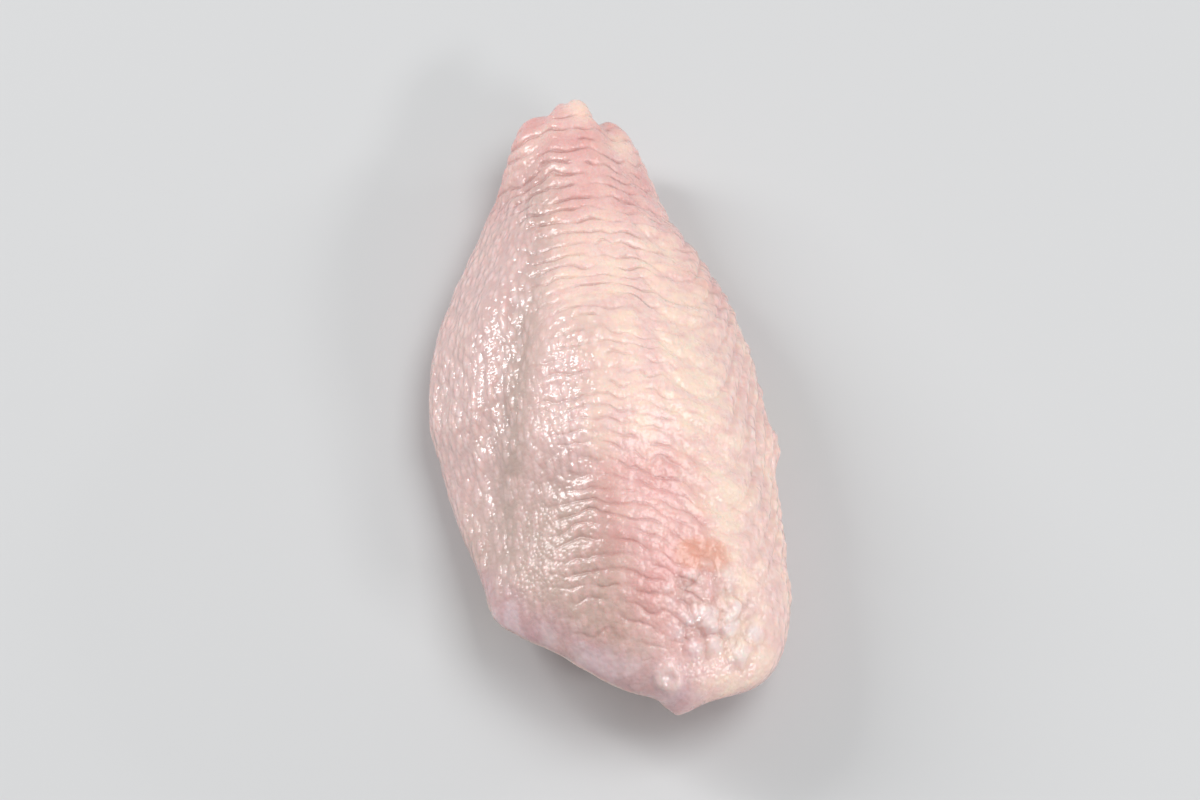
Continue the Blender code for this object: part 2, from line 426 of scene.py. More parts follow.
@dataclass(frozen=True)
class FleshFinish:
    """Pale wet skin, with the cut muscle where the skin ends."""

    base: Colour = srgb(236, 197, 193)
    pale_base: Colour = srgb(249, 223, 219)
    cream: Colour = srgb(254, 226, 208)
    pink: Colour = srgb(224, 166, 162)
    furrow: Colour = srgb(174, 134, 120)
    red_furrow: Colour = srgb(176, 98, 90)
    # Grey of the groove, partly painted shade, and of the band and the smooth skin.
    grey: Colour = srgb(190, 165, 153)
    # Darker tone painted in the gaps between the grains, partly painted shade.
    gap: Colour = srgb(196, 168, 167)
    mauve: Colour = srgb(204, 162, 170)
    tan: Colour = srgb(228, 166, 144)
    # Pale specks on the grains' tops: partly whitish grains, partly painted glints.
    speck_and_glint: Colour = srgb(248, 240, 246)
    # Pale of the drop and the blister tops, partly their own tone and partly painted highlight, and of
    # the margin's painted sheen.
    drop: Colour = srgb(246, 236, 238)
    rim: Colour = srgb(238, 212, 202)
    fat: Colour = srgb(246, 226, 184)
    meat: Colour = srgb(212, 138, 132)
    deep_meat: Colour = srgb(176, 88, 88)
    film: Colour = srgb(230, 196, 194)
    # Dark red of blood, also painted as shadow along the lips of the cuts.
    blood: Colour = srgb(140, 26, 34)
    vein: Colour = srgb(172, 138, 162)
    granule: float = 1.15
    granule_depth: float = 0.2
    pore: float = 0.6
    pore_depth: float = 0.05
    line_depth: float = 0.14
    wetness: Wetness = Wetness(coat_roughness=0.42, specular=0.66)

    def material(self) -> bpy.types.Material:
        """Builds the material from the mesh's marks and finer noise.

        Returns:
            The material.
        """
        sheet = Sheet("raw_chicken_flesh")
        marks = {mark: sheet.mark(mark.value) for mark in Mark}
        grain, meat = marks[Mark.GRAIN], marks[Mark.MEAT]
        line = self._furrow_line(sheet) * marks[Mark.FURROW]
        granules = sheet.grains(self.granule, stretch=(0.8, 1.7, 0.8))
        fine = sheet.noise(0.9, 3.0)
        colour = self._colour(sheet, marks, line, granules, fine)
        roughness = 0.28 - 0.13 * grain - 0.08 * meat - 0.1 * marks[Mark.DROP] + 0.1 * (fine - 0.5)
        coat = 0.35 + 0.15 * grain
        pores = sheet.grains(self.pore).between(0.0, 0.9)
        beads = granules.between(0.0, 0.9) * (0.2 + 0.8 * grain)
        normal = sheet.bump(pores, -self.pore_depth)
        normal = sheet.bump(beads, -self.granule_depth, normal)
        normal = sheet.bump(line, -self.line_depth, normal)
        return self.wetness.finish(sheet, colour, roughness, coat, normal)

    @staticmethod
    def _furrow_line(sheet: Sheet) -> Shade:
        """A thin wavering line along each furrow, from 0 to 1."""
        waver = sheet.noise(0.9, 2.0)
        return (sheet.mark(ROW_MARK) + 0.22 * (waver - 0.5)).fold().between(0.2, 0.0)

    def _colour(
        self,
        sheet: Sheet,
        marks: dict[Mark, Shade],
        line: Shade,
        granules: Shade,
        fine: Shade,
    ) -> Shade:
        """Lays the skin's and the muscle's colours over each other.

        Args:
            sheet: the nodes so far.
            marks: the mesh's marks.
            line: the thin lines of the furrows.
            granules: the distance to the skin's grains.
            fine: fine noise.

        Returns:
            The colour.
        """
        blotch = sheet.noise(5.5, 3.0).between(0.34, 0.7)
        patch = sheet.noise(2.4, 3.0, stretch=(1.8, 0.7, 1.0)).between(0.36, 0.62)
        mottle = sheet.noise(0.8, 3.0).between(0.3, 0.7)
        gaps = granules.between(0.3, 0.65)
        # The grains' tops get pale specks, partly their own tone and partly painted glints.
        pale_glint_tops = granules.between(0.5, 0.0) * (0.1 + 0.25 * marks[Mark.GRAIN]) * (0.3 + 0.7 * mottle)
        furrow = sheet.blend(marks[Mark.PINK], self.furrow, self.red_furrow)
        skin = sheet.layers(
            self.base,
            (0.5 * mottle, self.pale_base),
            (marks[Mark.CREAM] * (0.35 + 0.65 * patch), self.cream),
            (marks[Mark.PINK] * (0.4 + 0.6 * blotch), self.pink),
            # The gaps between the grains are painted greyer and darker, partly as painted shade.
            (marks[Mark.GREY] * (0.6 + 0.4 * gaps), self.grey),
            (0.35 * marks[Mark.GRAIN] * gaps, self.gap),
            (marks[Mark.MAUVE] * (0.65 + 0.35 * blotch), self.mauve),
            (marks[Mark.VEIN] * (0.5 + 0.5 * fine), self.vein),
            (marks[Mark.CREASE] * (0.35 + 0.5 * fine), self.furrow),
            (line * (0.05 + 0.55 * fine + 0.2 * marks[Mark.PINK]), furrow),
            # Pale specks on the grains' tops, partly painted glints.
            (pale_glint_tops, self.speck_and_glint),
            (marks[Mark.TAN] * (0.6 + 0.4 * fine), self.tan),
            # The pale of the drop and the blister tops is partly painted highlight; on the margin it is
            # painted sheen.
            (marks[Mark.DROP] * (0.25 + 0.5 * fine), self.drop),
            (marks[Mark.RIM] * (0.5 + 0.5 * fine), self.rim),
        )
        strands = sheet.noise(0.5, 3.0, stretch=(1.0, 4.0, 1.0)).between(0.35, 0.7)
        meat = sheet.layers(
            self.meat,
            (strands, self.deep_meat),
            (0.9 * marks[Mark.CREASE], self.film),
        )
        return sheet.layers(
            skin,
            (marks[Mark.MEAT], meat),
            (marks[Mark.FAT] * (0.7 + 0.3 * fine), self.fat),
            # Blood, partly painted shadow along the lips.
            (marks[Mark.BLOOD] * fine.between(0.3, 0.6), self.blood),
        )


@dataclass(frozen=True)
class GristleFinish:
    """Bluish-white gristle on a bone's ends, over pinkish bone."""

    gristle: Colour = srgb(236, 234, 234)
    bone: Colour = srgb(224, 190, 184)
    stain: Colour = srgb(176, 60, 62)
    wetness: Wetness = Wetness(coat_roughness=0.05, subsurface=0.45, depth=2.2, tint=(0.9, 0.7, 0.65))

    def material(self) -> bpy.types.Material:
        """Builds the material from the mesh's marks for gristle and stains.

        Returns:
            The material.
        """
        sheet = Sheet("gristle_and_bone")
        tip, stained = sheet.mark("gristle"), sheet.mark("stain")
        fine = sheet.noise(0.8, 3.0)
        colour = sheet.blend(tip * (0.85 + 0.15 * fine), self.bone, self.gristle)
        colour = sheet.blend(stained * fine.between(0.35, 0.62), colour, self.stain)
        roughness = 0.2 + 0.14 * fine
        normal = sheet.bump(sheet.noise(0.6, 3.0), 0.03)
        return self.wetness.finish(sheet, colour, roughness, 0.75, normal)


@dataclass(frozen=True)
class SoftFinish:
    """A plain wet tissue whose colour wanders between two tones."""

    name: str
    light: Colour
    dark: Colour
    lumps: float
    roughness: float
    wetness: Wetness

    def material(self) -> bpy.types.Material:
        """Builds the material.

        Returns:
            The material.
        """
        sheet = Sheet(self.name)
        lumps = sheet.noise(self.lumps, 3.0)
        colour = sheet.blend(lumps.between(0.3, 0.7), self.light, self.dark)
        roughness = self.roughness + 0.12 * (lumps - 0.5)
        normal = sheet.bump(sheet.noise(self.lumps * 0.4, 2.0), 0.04)
        return self.wetness.finish(sheet, colour, roughness, 0.6, normal)


FAT_FINISH = SoftFinish(
    name="yellow_fat",
    light=srgb(249, 231, 190),
    dark=srgb(238, 205, 160),
    lumps=1.4,
    roughness=0.38,
    wetness=Wetness(subsurface=0.45, depth=2.0, tint=(1.0, 0.62, 0.32)),
)
SINEW_FINISH = SoftFinish(
    name="white_sinew",
    light=srgb(236, 226, 224),
    dark=srgb(222, 196, 194),
    lumps=1.0,
    roughness=0.3,
    wetness=Wetness(subsurface=0.4, depth=1.4, tint=(1.0, 0.7, 0.62)),
)
BLOOD_FINISH = SoftFinish(
    name="dark_blood",
    light=srgb(142, 24, 32),
    dark=srgb(92, 10, 18),
    lumps=1.2,
    roughness=0.18,
    wetness=Wetness(coat_roughness=0.04, subsurface=0.15, depth=0.8, tint=(1.0, 0.15, 0.1)),
)


@dataclass(frozen=True)
class FloorFinish:
    """A plain pale floor."""

    colour: Colour = srgb(208, 209, 210)

    def material(self) -> bpy.types.Material:
        """Builds the material.

        Returns:
            The material.
        """
        sheet = Sheet("pale_floor")
        roughness = 0.55 + 0.1 * sheet.noise(40.0, 2.0)
        values = {"Base Color": self.colour, "Roughness": roughness, "Specular IOR Level": 0.25}
        shader = sheet.add("ShaderNodeBsdfPrincipled", {}, values)
        sheet.add("ShaderNodeOutputMaterial", {}, {"Surface": shader})
        return sheet.material


def linked(name: str, data: Any) -> bpy.types.Object:
    """Makes an object and links it to the scene.

    Args:
        name: its name.
        data: its mesh, curve, light or camera.

    Returns:
        The object.
    """
    made = bpy.data.objects.new(name, data)
    bpy.context.scene.collection.objects.link(made)
    return made


def evaluated_mesh(helper: bpy.types.Object) -> bpy.types.Mesh:
    """The mesh that a helper's modifiers or curve settings give.

    Args:
        helper: the object, which is used up.

    Returns:
        A mesh of its own.
    """
    graph = bpy.context.evaluated_depsgraph_get()
    mesh = bpy.data.meshes.new_from_object(helper.evaluated_get(graph))
    bpy.data.objects.remove(helper)
    return mesh


def mesh_points(mesh: bpy.types.Mesh) -> Array:
    """Reads the points of a mesh.

    Args:
        mesh: the mesh, in metres.

    Returns:
        A row for each point, in millimetres.
    """
    found = np.empty(len(mesh.vertices) * 3)
    mesh.vertices.foreach_get("co", found)
    return found.reshape(-1, 3) / MM


def welded(node: bpy.types.Object) -> bmesh.types.BMesh:
    """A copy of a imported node's mesh whose loose triangles are joined up.

    Args:
        node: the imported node, which isn't changed.

    Returns:
        The copy, closed and facing outwards.
    """
    shape = bmesh.new()
    shape.from_mesh(node.data)
    bmesh.ops.remove_doubles(shape, verts=shape.verts, dist=0.004 * MM)
    return shape


class FineMesh:
    """A dense mesh of even quads, whose points are moved together. Its numbers are in millimetres."""

    def __init__(self, name: str, shape: bmesh.types.BMesh, voxel: float) -> None:
        """Remeshes a closed shape.

        Args:
            name: the name of the piece.
            shape: the closed shape, which is used up.
            voxel: how wide its quads are.
        """
        self.name = name
        coarse = bpy.data.meshes.new(name + "_coarse")
        shape.to_mesh(coarse)
        shape.free()
        helper = linked(name + "_coarse", coarse)
        remesh = helper.modifiers.new("remesh", "REMESH")
        remesh.mode = "VOXEL"
        remesh.voxel_size = voxel * MM
        self.mesh = evaluated_mesh(helper)
        self.mesh.name = name
        bpy.data.meshes.remove(coarse)

        self.points = mesh_points(self.mesh)
        self.edges = np.empty(len(self.mesh.edges) * 2, np.int32)
        self.mesh.edges.foreach_get("vertices", self.edges)
        self.edges = self.edges.reshape(-1, 2)
        self.degree = np.bincount(self.edges.ravel(), minlength=len(self.points))[:, None]

    def averaged(self, values: Array) -> Array:
        """The mean of each point's neighbours.

        Args:
            values: one or more columns, with a row for each point.

        Returns:
            As many rows and columns.
        """
        total = np.zeros_like(values)
        for column in range(values.shape[1]):
            for here, there in ((0, 1), (1, 0)):
                weights = values[self.edges[:, there], column]
                total[:, column] += np.bincount(self.edges[:, here], weights, len(values))
        return total / self.degree

    def relax(self, rounds: int, amount: Array | float = 0.5) -> None:
        """Moves each point towards its neighbours.

        Args:
            rounds: how many times.
            amount: the share of the way that each point goes.
        """
        amount = np.broadcast_to(np.asarray(amount, float), (len(self.points),))[:, None]
        for _ in range(rounds):
            self.points += amount * (self.averaged(self.points) - self.points)

    def normals(self) -> Array:
        """The outward direction at each point.

        Returns:
            A row for each point.
        """
        self._write()
        found = np.empty(len(self.points) * 3)
        self.mesh.vertex_normals.foreach_get("vector", found)
        return found.reshape(-1, 3)

    def push(self, height: Array, directions: Array | None = None) -> None:
        """Moves each point outwards by its height, or along the directions given."""
        self.points += (self.normals() if directions is None else directions) * height[:, None]

    def _write(self) -> None:
        """Puts the points back into the mesh."""
        self.mesh.vertices.foreach_set("co", (self.points * MM).ravel())
        self.mesh.update()

    def piece(self, marks: dict[str, Array], material: bpy.types.Material) -> bpy.types.Object:
        """Finishes the mesh as an object.

        Args:
            marks: numbers for each point, under the names that the material reads.
            material: its finish.

        Returns:
            The object, linked to the scene.
        """
        self._write()
        for name, values in marks.items():
            layer = self.mesh.attributes.new(name, "FLOAT", "POINT")
            layer.data.foreach_set("value", values.astype(np.float32))
        self.mesh.materials.clear()
        self.mesh.materials.append(material)
        self.mesh.shade_smooth()
        return linked(self.name, self.mesh)


def settle(piece: bpy.types.Object, slot: str, *nodes: str) -> bpy.types.Object:
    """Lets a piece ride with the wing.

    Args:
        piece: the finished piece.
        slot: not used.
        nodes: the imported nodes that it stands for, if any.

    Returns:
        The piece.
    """
    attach(piece, BODY)
    if nodes:
        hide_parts(*nodes)
    LOG.info("%s: %d faces", piece.name, len(piece.data.polygons))
    return piece


@dataclass
class WingMap:
    """The wing's trailing edge and crown, measured on the flesh before its relief."""

    points: Array
    window: float = 2.0
    step: float = 1.0
    blur: int = 2
    stations: Array = field(init=False)
    trailing: Array = field(init=False)
    crown: Array = field(init=False)

    def __post_init__(self) -> None:
        """Reads the trailing edge and the crown at even steps along the wing."""
        along = self.points[:, 1]
        self.stations = np.arange(along.min() + self.window, along.max() - self.window, self.step)
        near = [self.points[np.abs(along - place) < self.window] for place in self.stations]
        self.trailing = self._even([p[:, 0].max() for p in near])
        self.crown = self._even([p[:, 2].max() for p in near])

    def _even(self, values: list[float]) -> Array:
        """Evens out small steps.

        Args:
            values: a value for each station.

        Returns:
            The mean of each value and its neighbours.
        """
        width = 2 * self.blur + 1
        padded = np.pad(np.array(values), self.blur, mode="edge")
        return np.convolve(padded, np.full(width, 1 / width), mode="valid")

    def below_crown(self, points: Array) -> Array:
        """How far each point lies below the wing's crown there."""
        return np.interp(points[:, 1], self.stations, self.crown) - points[:, 2]


@dataclass(frozen=True)
class Cut:
    """One cut end: the plane of the skin's lip, and the oval of the lip in it.

    The spans say how far inside the oval the muscle and the skin's rim start and end.
    """

    middle: Point
    outward: Point
    side: Point
    half_width: float
    half_height: float
    fullness: float = 2.5
    reach: float = 6.0
    meat_start: Span = (0.9, 1.5)
    rim_start: Span = (-0.15, 0.35)
    rim_end: Span = (1.6, 1.1)

    def axes(self) -> Array:
        """The cut's own directions.

        Returns:
            Three rows: across the cut, up it, and out of it.
        """
        outward = np.array(self.outward) / np.linalg.norm(self.outward)
        side = np.array(self.side) - outward * (outward @ np.array(self.side))
        side /= np.linalg.norm(side)
        up = np.cross(side, outward)
        return np.array([side, up * math.copysign(1, up[2]), outward])

    def flat(self, points: Array) -> Array:
        """Across, up and outward places on the cut for each point."""
        return (points - np.array(self.middle)) @ self.axes().T

    def point(self, across: float, up: float, depth: float) -> Array:
        """A point on the cut, sunk below the lip by the depth."""
        return np.array(self.middle) + np.array([across, up, -depth]) @ self.axes()

    def on_oval(self, angle: float, share: float, depth: float) -> Array:
        """A point on the lip's oval drawn smaller.

        Args:
            angle: the way round the oval, in degrees.
            share: the smaller oval's share of the lip's.
            depth: how far it is sunk below the lip.

        Returns:
            Its places across and up the cut, and the depth.
        """
        turn = math.radians(angle)
        power = 2 / self.fullness
        ways = (math.cos(turn), math.sin(turn))
        across, up = (math.copysign(abs(way) ** power, way) for way in ways)
        return np.array([self.half_width * share * across, self.half_height * share * up, depth])

    def inset(self, points: Array) -> Array:
        """How far inside the lip's oval each point is.

        Args:
            points: the points.

        Returns:
            About how many millimetres, and less than 0 outside.
        """
        flat = self.flat(points)
        wide = np.abs(flat[:, 0] / self.half_width) ** self.fullness
        high = np.abs(flat[:, 1] / self.half_height) ** self.fullness
        share = (wide + high) ** (1 / self.fullness)
        radius = np.hypot(flat[:, 0], flat[:, 1]) / np.maximum(share, 1e-6)
        return (1 - share) * radius

    def near(self, points: Array) -> Array:
        """1 close to the cut's plane, falling to 0 at the reach behind it."""
        return rise(self.reach, 0.6 * self.reach, -self.flat(points)[:, 2])

    def meat(self, points: Array) -> Array:
        """1 on the muscle inside the skin's rim."""
        return rise(*self.meat_start, self.inset(points)) * self.near(points)

    def rim(self, points: Array) -> Array:
        """1 on the skin's rim round the muscle."""
        return plateau(self.inset(points), self.rim_start, self.rim_end) * self.near(points)


ELBOW = Cut(
    middle=(-6.43, -31.93, 8.40),
    outward=(-0.54, -0.76, -0.50),
    side=(0.80, -0.58, 0.17),
    half_width=12.8,
    half_height=6.2,
)
WRIST = Cut(
    middle=(1.22, 37.37, 6.40),
    outward=(0.0, 0.90, -0.43),
    side=(1.0, 0.0, 0.0),
    half_width=5.9,
    half_height=4.1,
)
CUTS = (ELBOW, WRIST)


@dataclass
class Site:
    """All that the relief needs to know about the flesh's points.

    The over value is the way from the middle line over the wing's back and down its flank.
    """

    points: Array
    normals: Array
    wing: WingMap
    flank_share: float = 0.8
    facing_up: Span = (-0.35, 0.2)
    top: Array = field(init=False)
    over: Array = field(init=False)
    meat: Array = field(init=False)
    rim: Array = field(init=False)
    skin: Array = field(init=False)

    def __post_init__(self) -> None:
        """Works out the side of the wing, the way over its flank, the cut faces and the rim."""
        self.over = self.x + self.flank_share * np.maximum(self.wing.below_crown(self.points), 0)
        self.top = rise(*self.facing_up, self.normals[:, 2])
        self.meat = np.maximum(*(cut.meat(self.points) for cut in CUTS))
        self.rim = np.maximum(*(cut.rim(self.points) for cut in CUTS))
        self.skin = 1 - np.maximum(self.meat, self.rim)

    @property
    def x(self) -> Array:
        """Places across the wing."""
        return self.points[:, 0]

    @property
    def y(self) -> Array:
        """Places along the wing."""
        return self.points[:, 1]

    @property
    def z(self) -> Array:
        """Heights."""
        return self.points[:, 2]

    def distance(self, middle: Place, tall: float = 1.0) -> Array:
        """Each point's distance from an upright line, over an oval that many times as long as wide."""
        return np.hypot(self.x - middle[0], (self.y - middle[1]) / tall)

    def from_lip(self) -> Array:
        """Each point's distance from the elbow's lip.

        Returns:
            The way along the skin outside the lip.
        """
        flat = ELBOW.flat(self.points)
        out = np.maximum(-ELBOW.inset(self.points), 0.0)
        return np.hypot(out, np.maximum(-flat[:, 2], 0.0))


@dataclass(frozen=True)
class FollicleRows:
    """The short wavy furrows that ridge the outer skin, and the pebbles on the ridges between them.

    The jumps keep one row's dashes and pebbles from lining up with the next row's.
    """

    pitch: float = 1.8
    depth: float = 0.16
    furrow: float = 0.27
    dash: float = 1.9
    wave: float = 5.2
    wave_height: float = 0.22
    pebble: float = 1.9
    pebble_height: float = 0.14
    column: float = 5.5
    row_jump: Place = (37.1, 11.3)
    pebble_jump: Place = (12.9, 3.7)
    tilt_at_wrist: float = 0.14
    tilt_at_elbow: float = 0.40
    tilt_change: Span = (15.0, -25.0)
    tilt_centre: float = 5.0
    start: float = -6.5
    start_slope: float = 0.07
    start_bend: float = 4.5
    bend: Span = (18.0, 32.0)
    blend: Span = (-3.0, 3.4)
    elbow_end: Span = (-39.0, -31.0)
    wrist_end: Span = (40.5, 37.0)
    elbow_part: Span = (-8.0, -18.0)
    middle_part: Span = (12.0, 4.0)
    wrist_part: Span = (18.0, 30.0)
    flank: Span = (8.0, 14.0)

    def _zone(self, site: Site) -> Array:
        """Where the rows are.

        Args:
            site: the flesh's points.

        Returns:
            1 on the rows, falling to 0 towards the leading band and both ends.
        """
        start = self.start + self.start_slope * site.y - self.start_bend * rise(*self.bend, site.y)
        zone = rise(*self.blend, site.x - start + 1.6 * NOISE.soft(site.points, 4.0))
        return zone * plateau(site.y, self.elbow_end, self.wrist_end) * site.top * site.skin

    def phase(self, site: Site) -> Array:
        """Which row each point lies in.

        Args:
            site: the flesh's points.

        Returns:
            The row's number. A furrow runs along every whole number.
        """
        tilt = self.tilt_at_wrist
        tilt = tilt + (self.tilt_at_elbow - tilt) * rise(*self.tilt_change, site.y)
        wander = 0.8 * NOISE.soft(site.points, 5.0) + 0.5 * NOISE.soft(site.points, 1.8)
        turns = math.tau * site.over / self.wave + 6.0 * NOISE.soft(site.points, 6.0)
        along = site.y + tilt * (site.over - self.tilt_centre) + wander + self.wave_height * np.sin(turns)
        return along / self.pitch

    def _pebbles(self, site: Site, phase: Array) -> Array:
        """The pebbles along the ridges.

        Args:
            site: the flesh's points.
            phase: the row of each point.

        Returns:
            Their height, from 0 to 1.
        """
        ridge = np.floor(phase)
        turn, jump = self.pebble_jump
        along = site.over / self.pebble + jump * np.sin(turn * ridge)
        along += 0.6 * NOISE.soft(site.points, 2.2)
        pebbles = (np.sin(math.pi * (phase - ridge)) * np.sin(math.pi * along)) ** 2
        return pebbles * (0.35 + 0.65 * NOISE.patches(site.points, 3.6, (-0.5, 0.5)))

    def relief(self, site: Site, phase: Array) -> tuple[Array, Array, Array]:
        """Works out the rows.

        Args:
            site: the flesh's points.
            phase: the row of each point.

        Returns:
            The height, how marked the furrows are from 0 to 1, and the cream columns from 0 to 1.
        """
        row = np.round(phase)
        lanes = math.tau * site.over / self.column + 1.1 + 1.4 * NOISE.soft(site.points, 7.0)
        column = 0.5 + 0.5 * np.cos(lanes)
        rows_apart = np.column_stack([site.over, *(row * jump for jump in self.row_jump)])
        strength = NOISE.patches(rows_apart, self.dash, (-0.7, 0.3))
        strength *= 1 - (0.3 + 0.45 * rise(0.0, 7.0, site.over)) * column**2
        strength *= 1 - 0.55 * rise(*self.flank, site.over)
        strength *= 1 - 0.4 * rise(*self.middle_part, site.y)
        furrow = hump((phase - row) * self.pitch, 0.0, self.furrow) * (0.1 + 0.9 * strength)
        depth = 0.8 + 0.8 * rise(*self.wrist_part, site.y) - 0.1 * rise(*self.elbow_part, site.y)
        depth = self.depth * (depth - 0.08 * rise(*self.middle_part, site.y))
        zone = self._zone(site)
        height = zone * (self.pebble_height * self._pebbles(site, phase) - depth * furrow)
        return height, strength * zone, column * zone


@dataclass(frozen=True)
class LeadingBand:
    """The grainy band between the leading edge and the long groove, and the beads behind the groove."""

    groove: tuple[Place, ...] = (
        (-34.4, -15.2),
        (-14.4, -13.4),
        (0.2, -10.6),
        (19.3, -5.1),
        (33.6, -3.0),
    )
    groove_middle: float = 0.3
    groove_width: float = 2.6
    grain: float = 1.5
    grain_height: float = 0.16
    wrinkle: float = 2.6
    wrinkle_height: float = 0.16
    bead: float = 1.9
    bead_height: float = 0.3
    bead_middle: float = 7.0
    bead_width: float = 4.2
    side: Span = (2.5, -1.5)
    elbow_end: Span = (-31.0, -17.0)
    wrist_end: Span = (36.0, 27.0)
    calm_part: Span = (-5.0, -13.0)
    bead_start: Span = (-19.0, -12.0)
    bead_end: Span = (12.0, 4.0)

    def from_groove(self, site: Site) -> Array:
        """How far each point lies on the trailing side of the groove."""
        places, sides = zip(*self.groove)
        return site.x - np.interp(site.y, places, sides)

    def relief(self, site: Site) -> tuple[Array, Array, Array]:
        """Works out the band.

        Args:
            site: the flesh's points.

        Returns:
            The height, the band from 0 to 1, and the groove from 0 to 1.
        """
        away = self.from_groove(site)
        outer = site.top * site.skin
        along = outer * plateau(site.y, self.elbow_end, self.wrist_end)
        band = along * rise(*self.side, away) * (1 - 0.5 * rise(*self.calm_part, site.y))
        groove = along * hump(away, self.groove_middle, self.groove_width)
        beads = outer * hump(away, self.bead_middle, self.bead_width)
        beads *= plateau(site.y, self.bead_start, self.bead_end)

        nearest, _ = NOISE.cells(site.points * (1.0, 0.5, 1.0), self.grain)
        grains = self.grain_height * (0.6 - nearest)
        turns = math.tau * site.x / self.wrinkle + 2.4 * NOISE.soft(site.points, 6.0)
        wrinkles = self.wrinkle_height * np.sin(turns) * (0.5 + 0.5 * NOISE.soft(site.points, 8.0))
        bead, _ = NOISE.cells(site.points, self.bead)
        height = band * (grains + wrinkles) + 0.5 * groove * grains
        height += self.bead_height * beads * np.maximum(0.5 - bead, -0.05)
        return height, np.maximum(band, 0.8 * beads), groove


@dataclass(frozen=True)
class TrailingEdge:
    """The large follicles along the trailing edge, and the curved folds beside them."""

    pitch: float = 6.2
    first: float = -27.0
    last: float = 14.0
    inset: float = 0.8
    level: float = 10.2
    shift: float = 0.5
    swell: float = 0.42
    swell_width: float = 2.3
    pit: float = 0.55
    pit_width: float = 0.75
    fold: float = 4.5
    fold_height: float = 0.42
    fold_slope: float = 0.35
    bow: float = 0.09
    bow_middle: float = 13.0
    fold_start: Span = (6.0, 11.0)
    elbow_end: Span = (-30.0, -24.0)
    wrist_end: Span = (34.0, 22.0)

    def _follicles(self, site: Site) -> Array:
        """The large follicles.

        Args:
            site: the flesh's points.

        Returns:
            The height that they add, with a pit in the middle of each swelling.
        """
        height = np.zeros(len(site.points))
        for number, place in enumerate(np.arange(self.first, self.last, self.pitch)):
            side = float(np.interp(place, site.wing.stations, site.wing.trailing))
            shift = self.shift * math.sin(2.3 * number + 0.4)
            centre = (side - self.inset, place + shift, self.level + 0.5 * shift)
            away = np.linalg.norm(site.points - centre, axis=1)
            height += self.swell * hump(away, 0.0, self.swell_width)
            height -= self.pit * hump(away, 0.0, self.pit_width)
        return height

    def relief(self, site: Site) -> Array:
        """Works out the edge.

        Args:
            site: the flesh's points.

        Returns:
            The height that the follicles and the folds add.
        """
        bow = self.bow * (site.over - self.bow_middle) ** 2
        wander = 1.3 * NOISE.soft(site.points, 6.0)
        turns = math.tau * (site.y + self.fold_slope * site.over - bow + wander) / self.fold
        zone = rise(*self.fold_start, site.over) * plateau(site.y, self.elbow_end, self.wrist_end)
        folds = self.fold_height * (np.abs(np.sin(turns / 2)) ** 0.7 - 0.7)
        return (self._follicles(site) + folds * zone * site.top) * site.skin


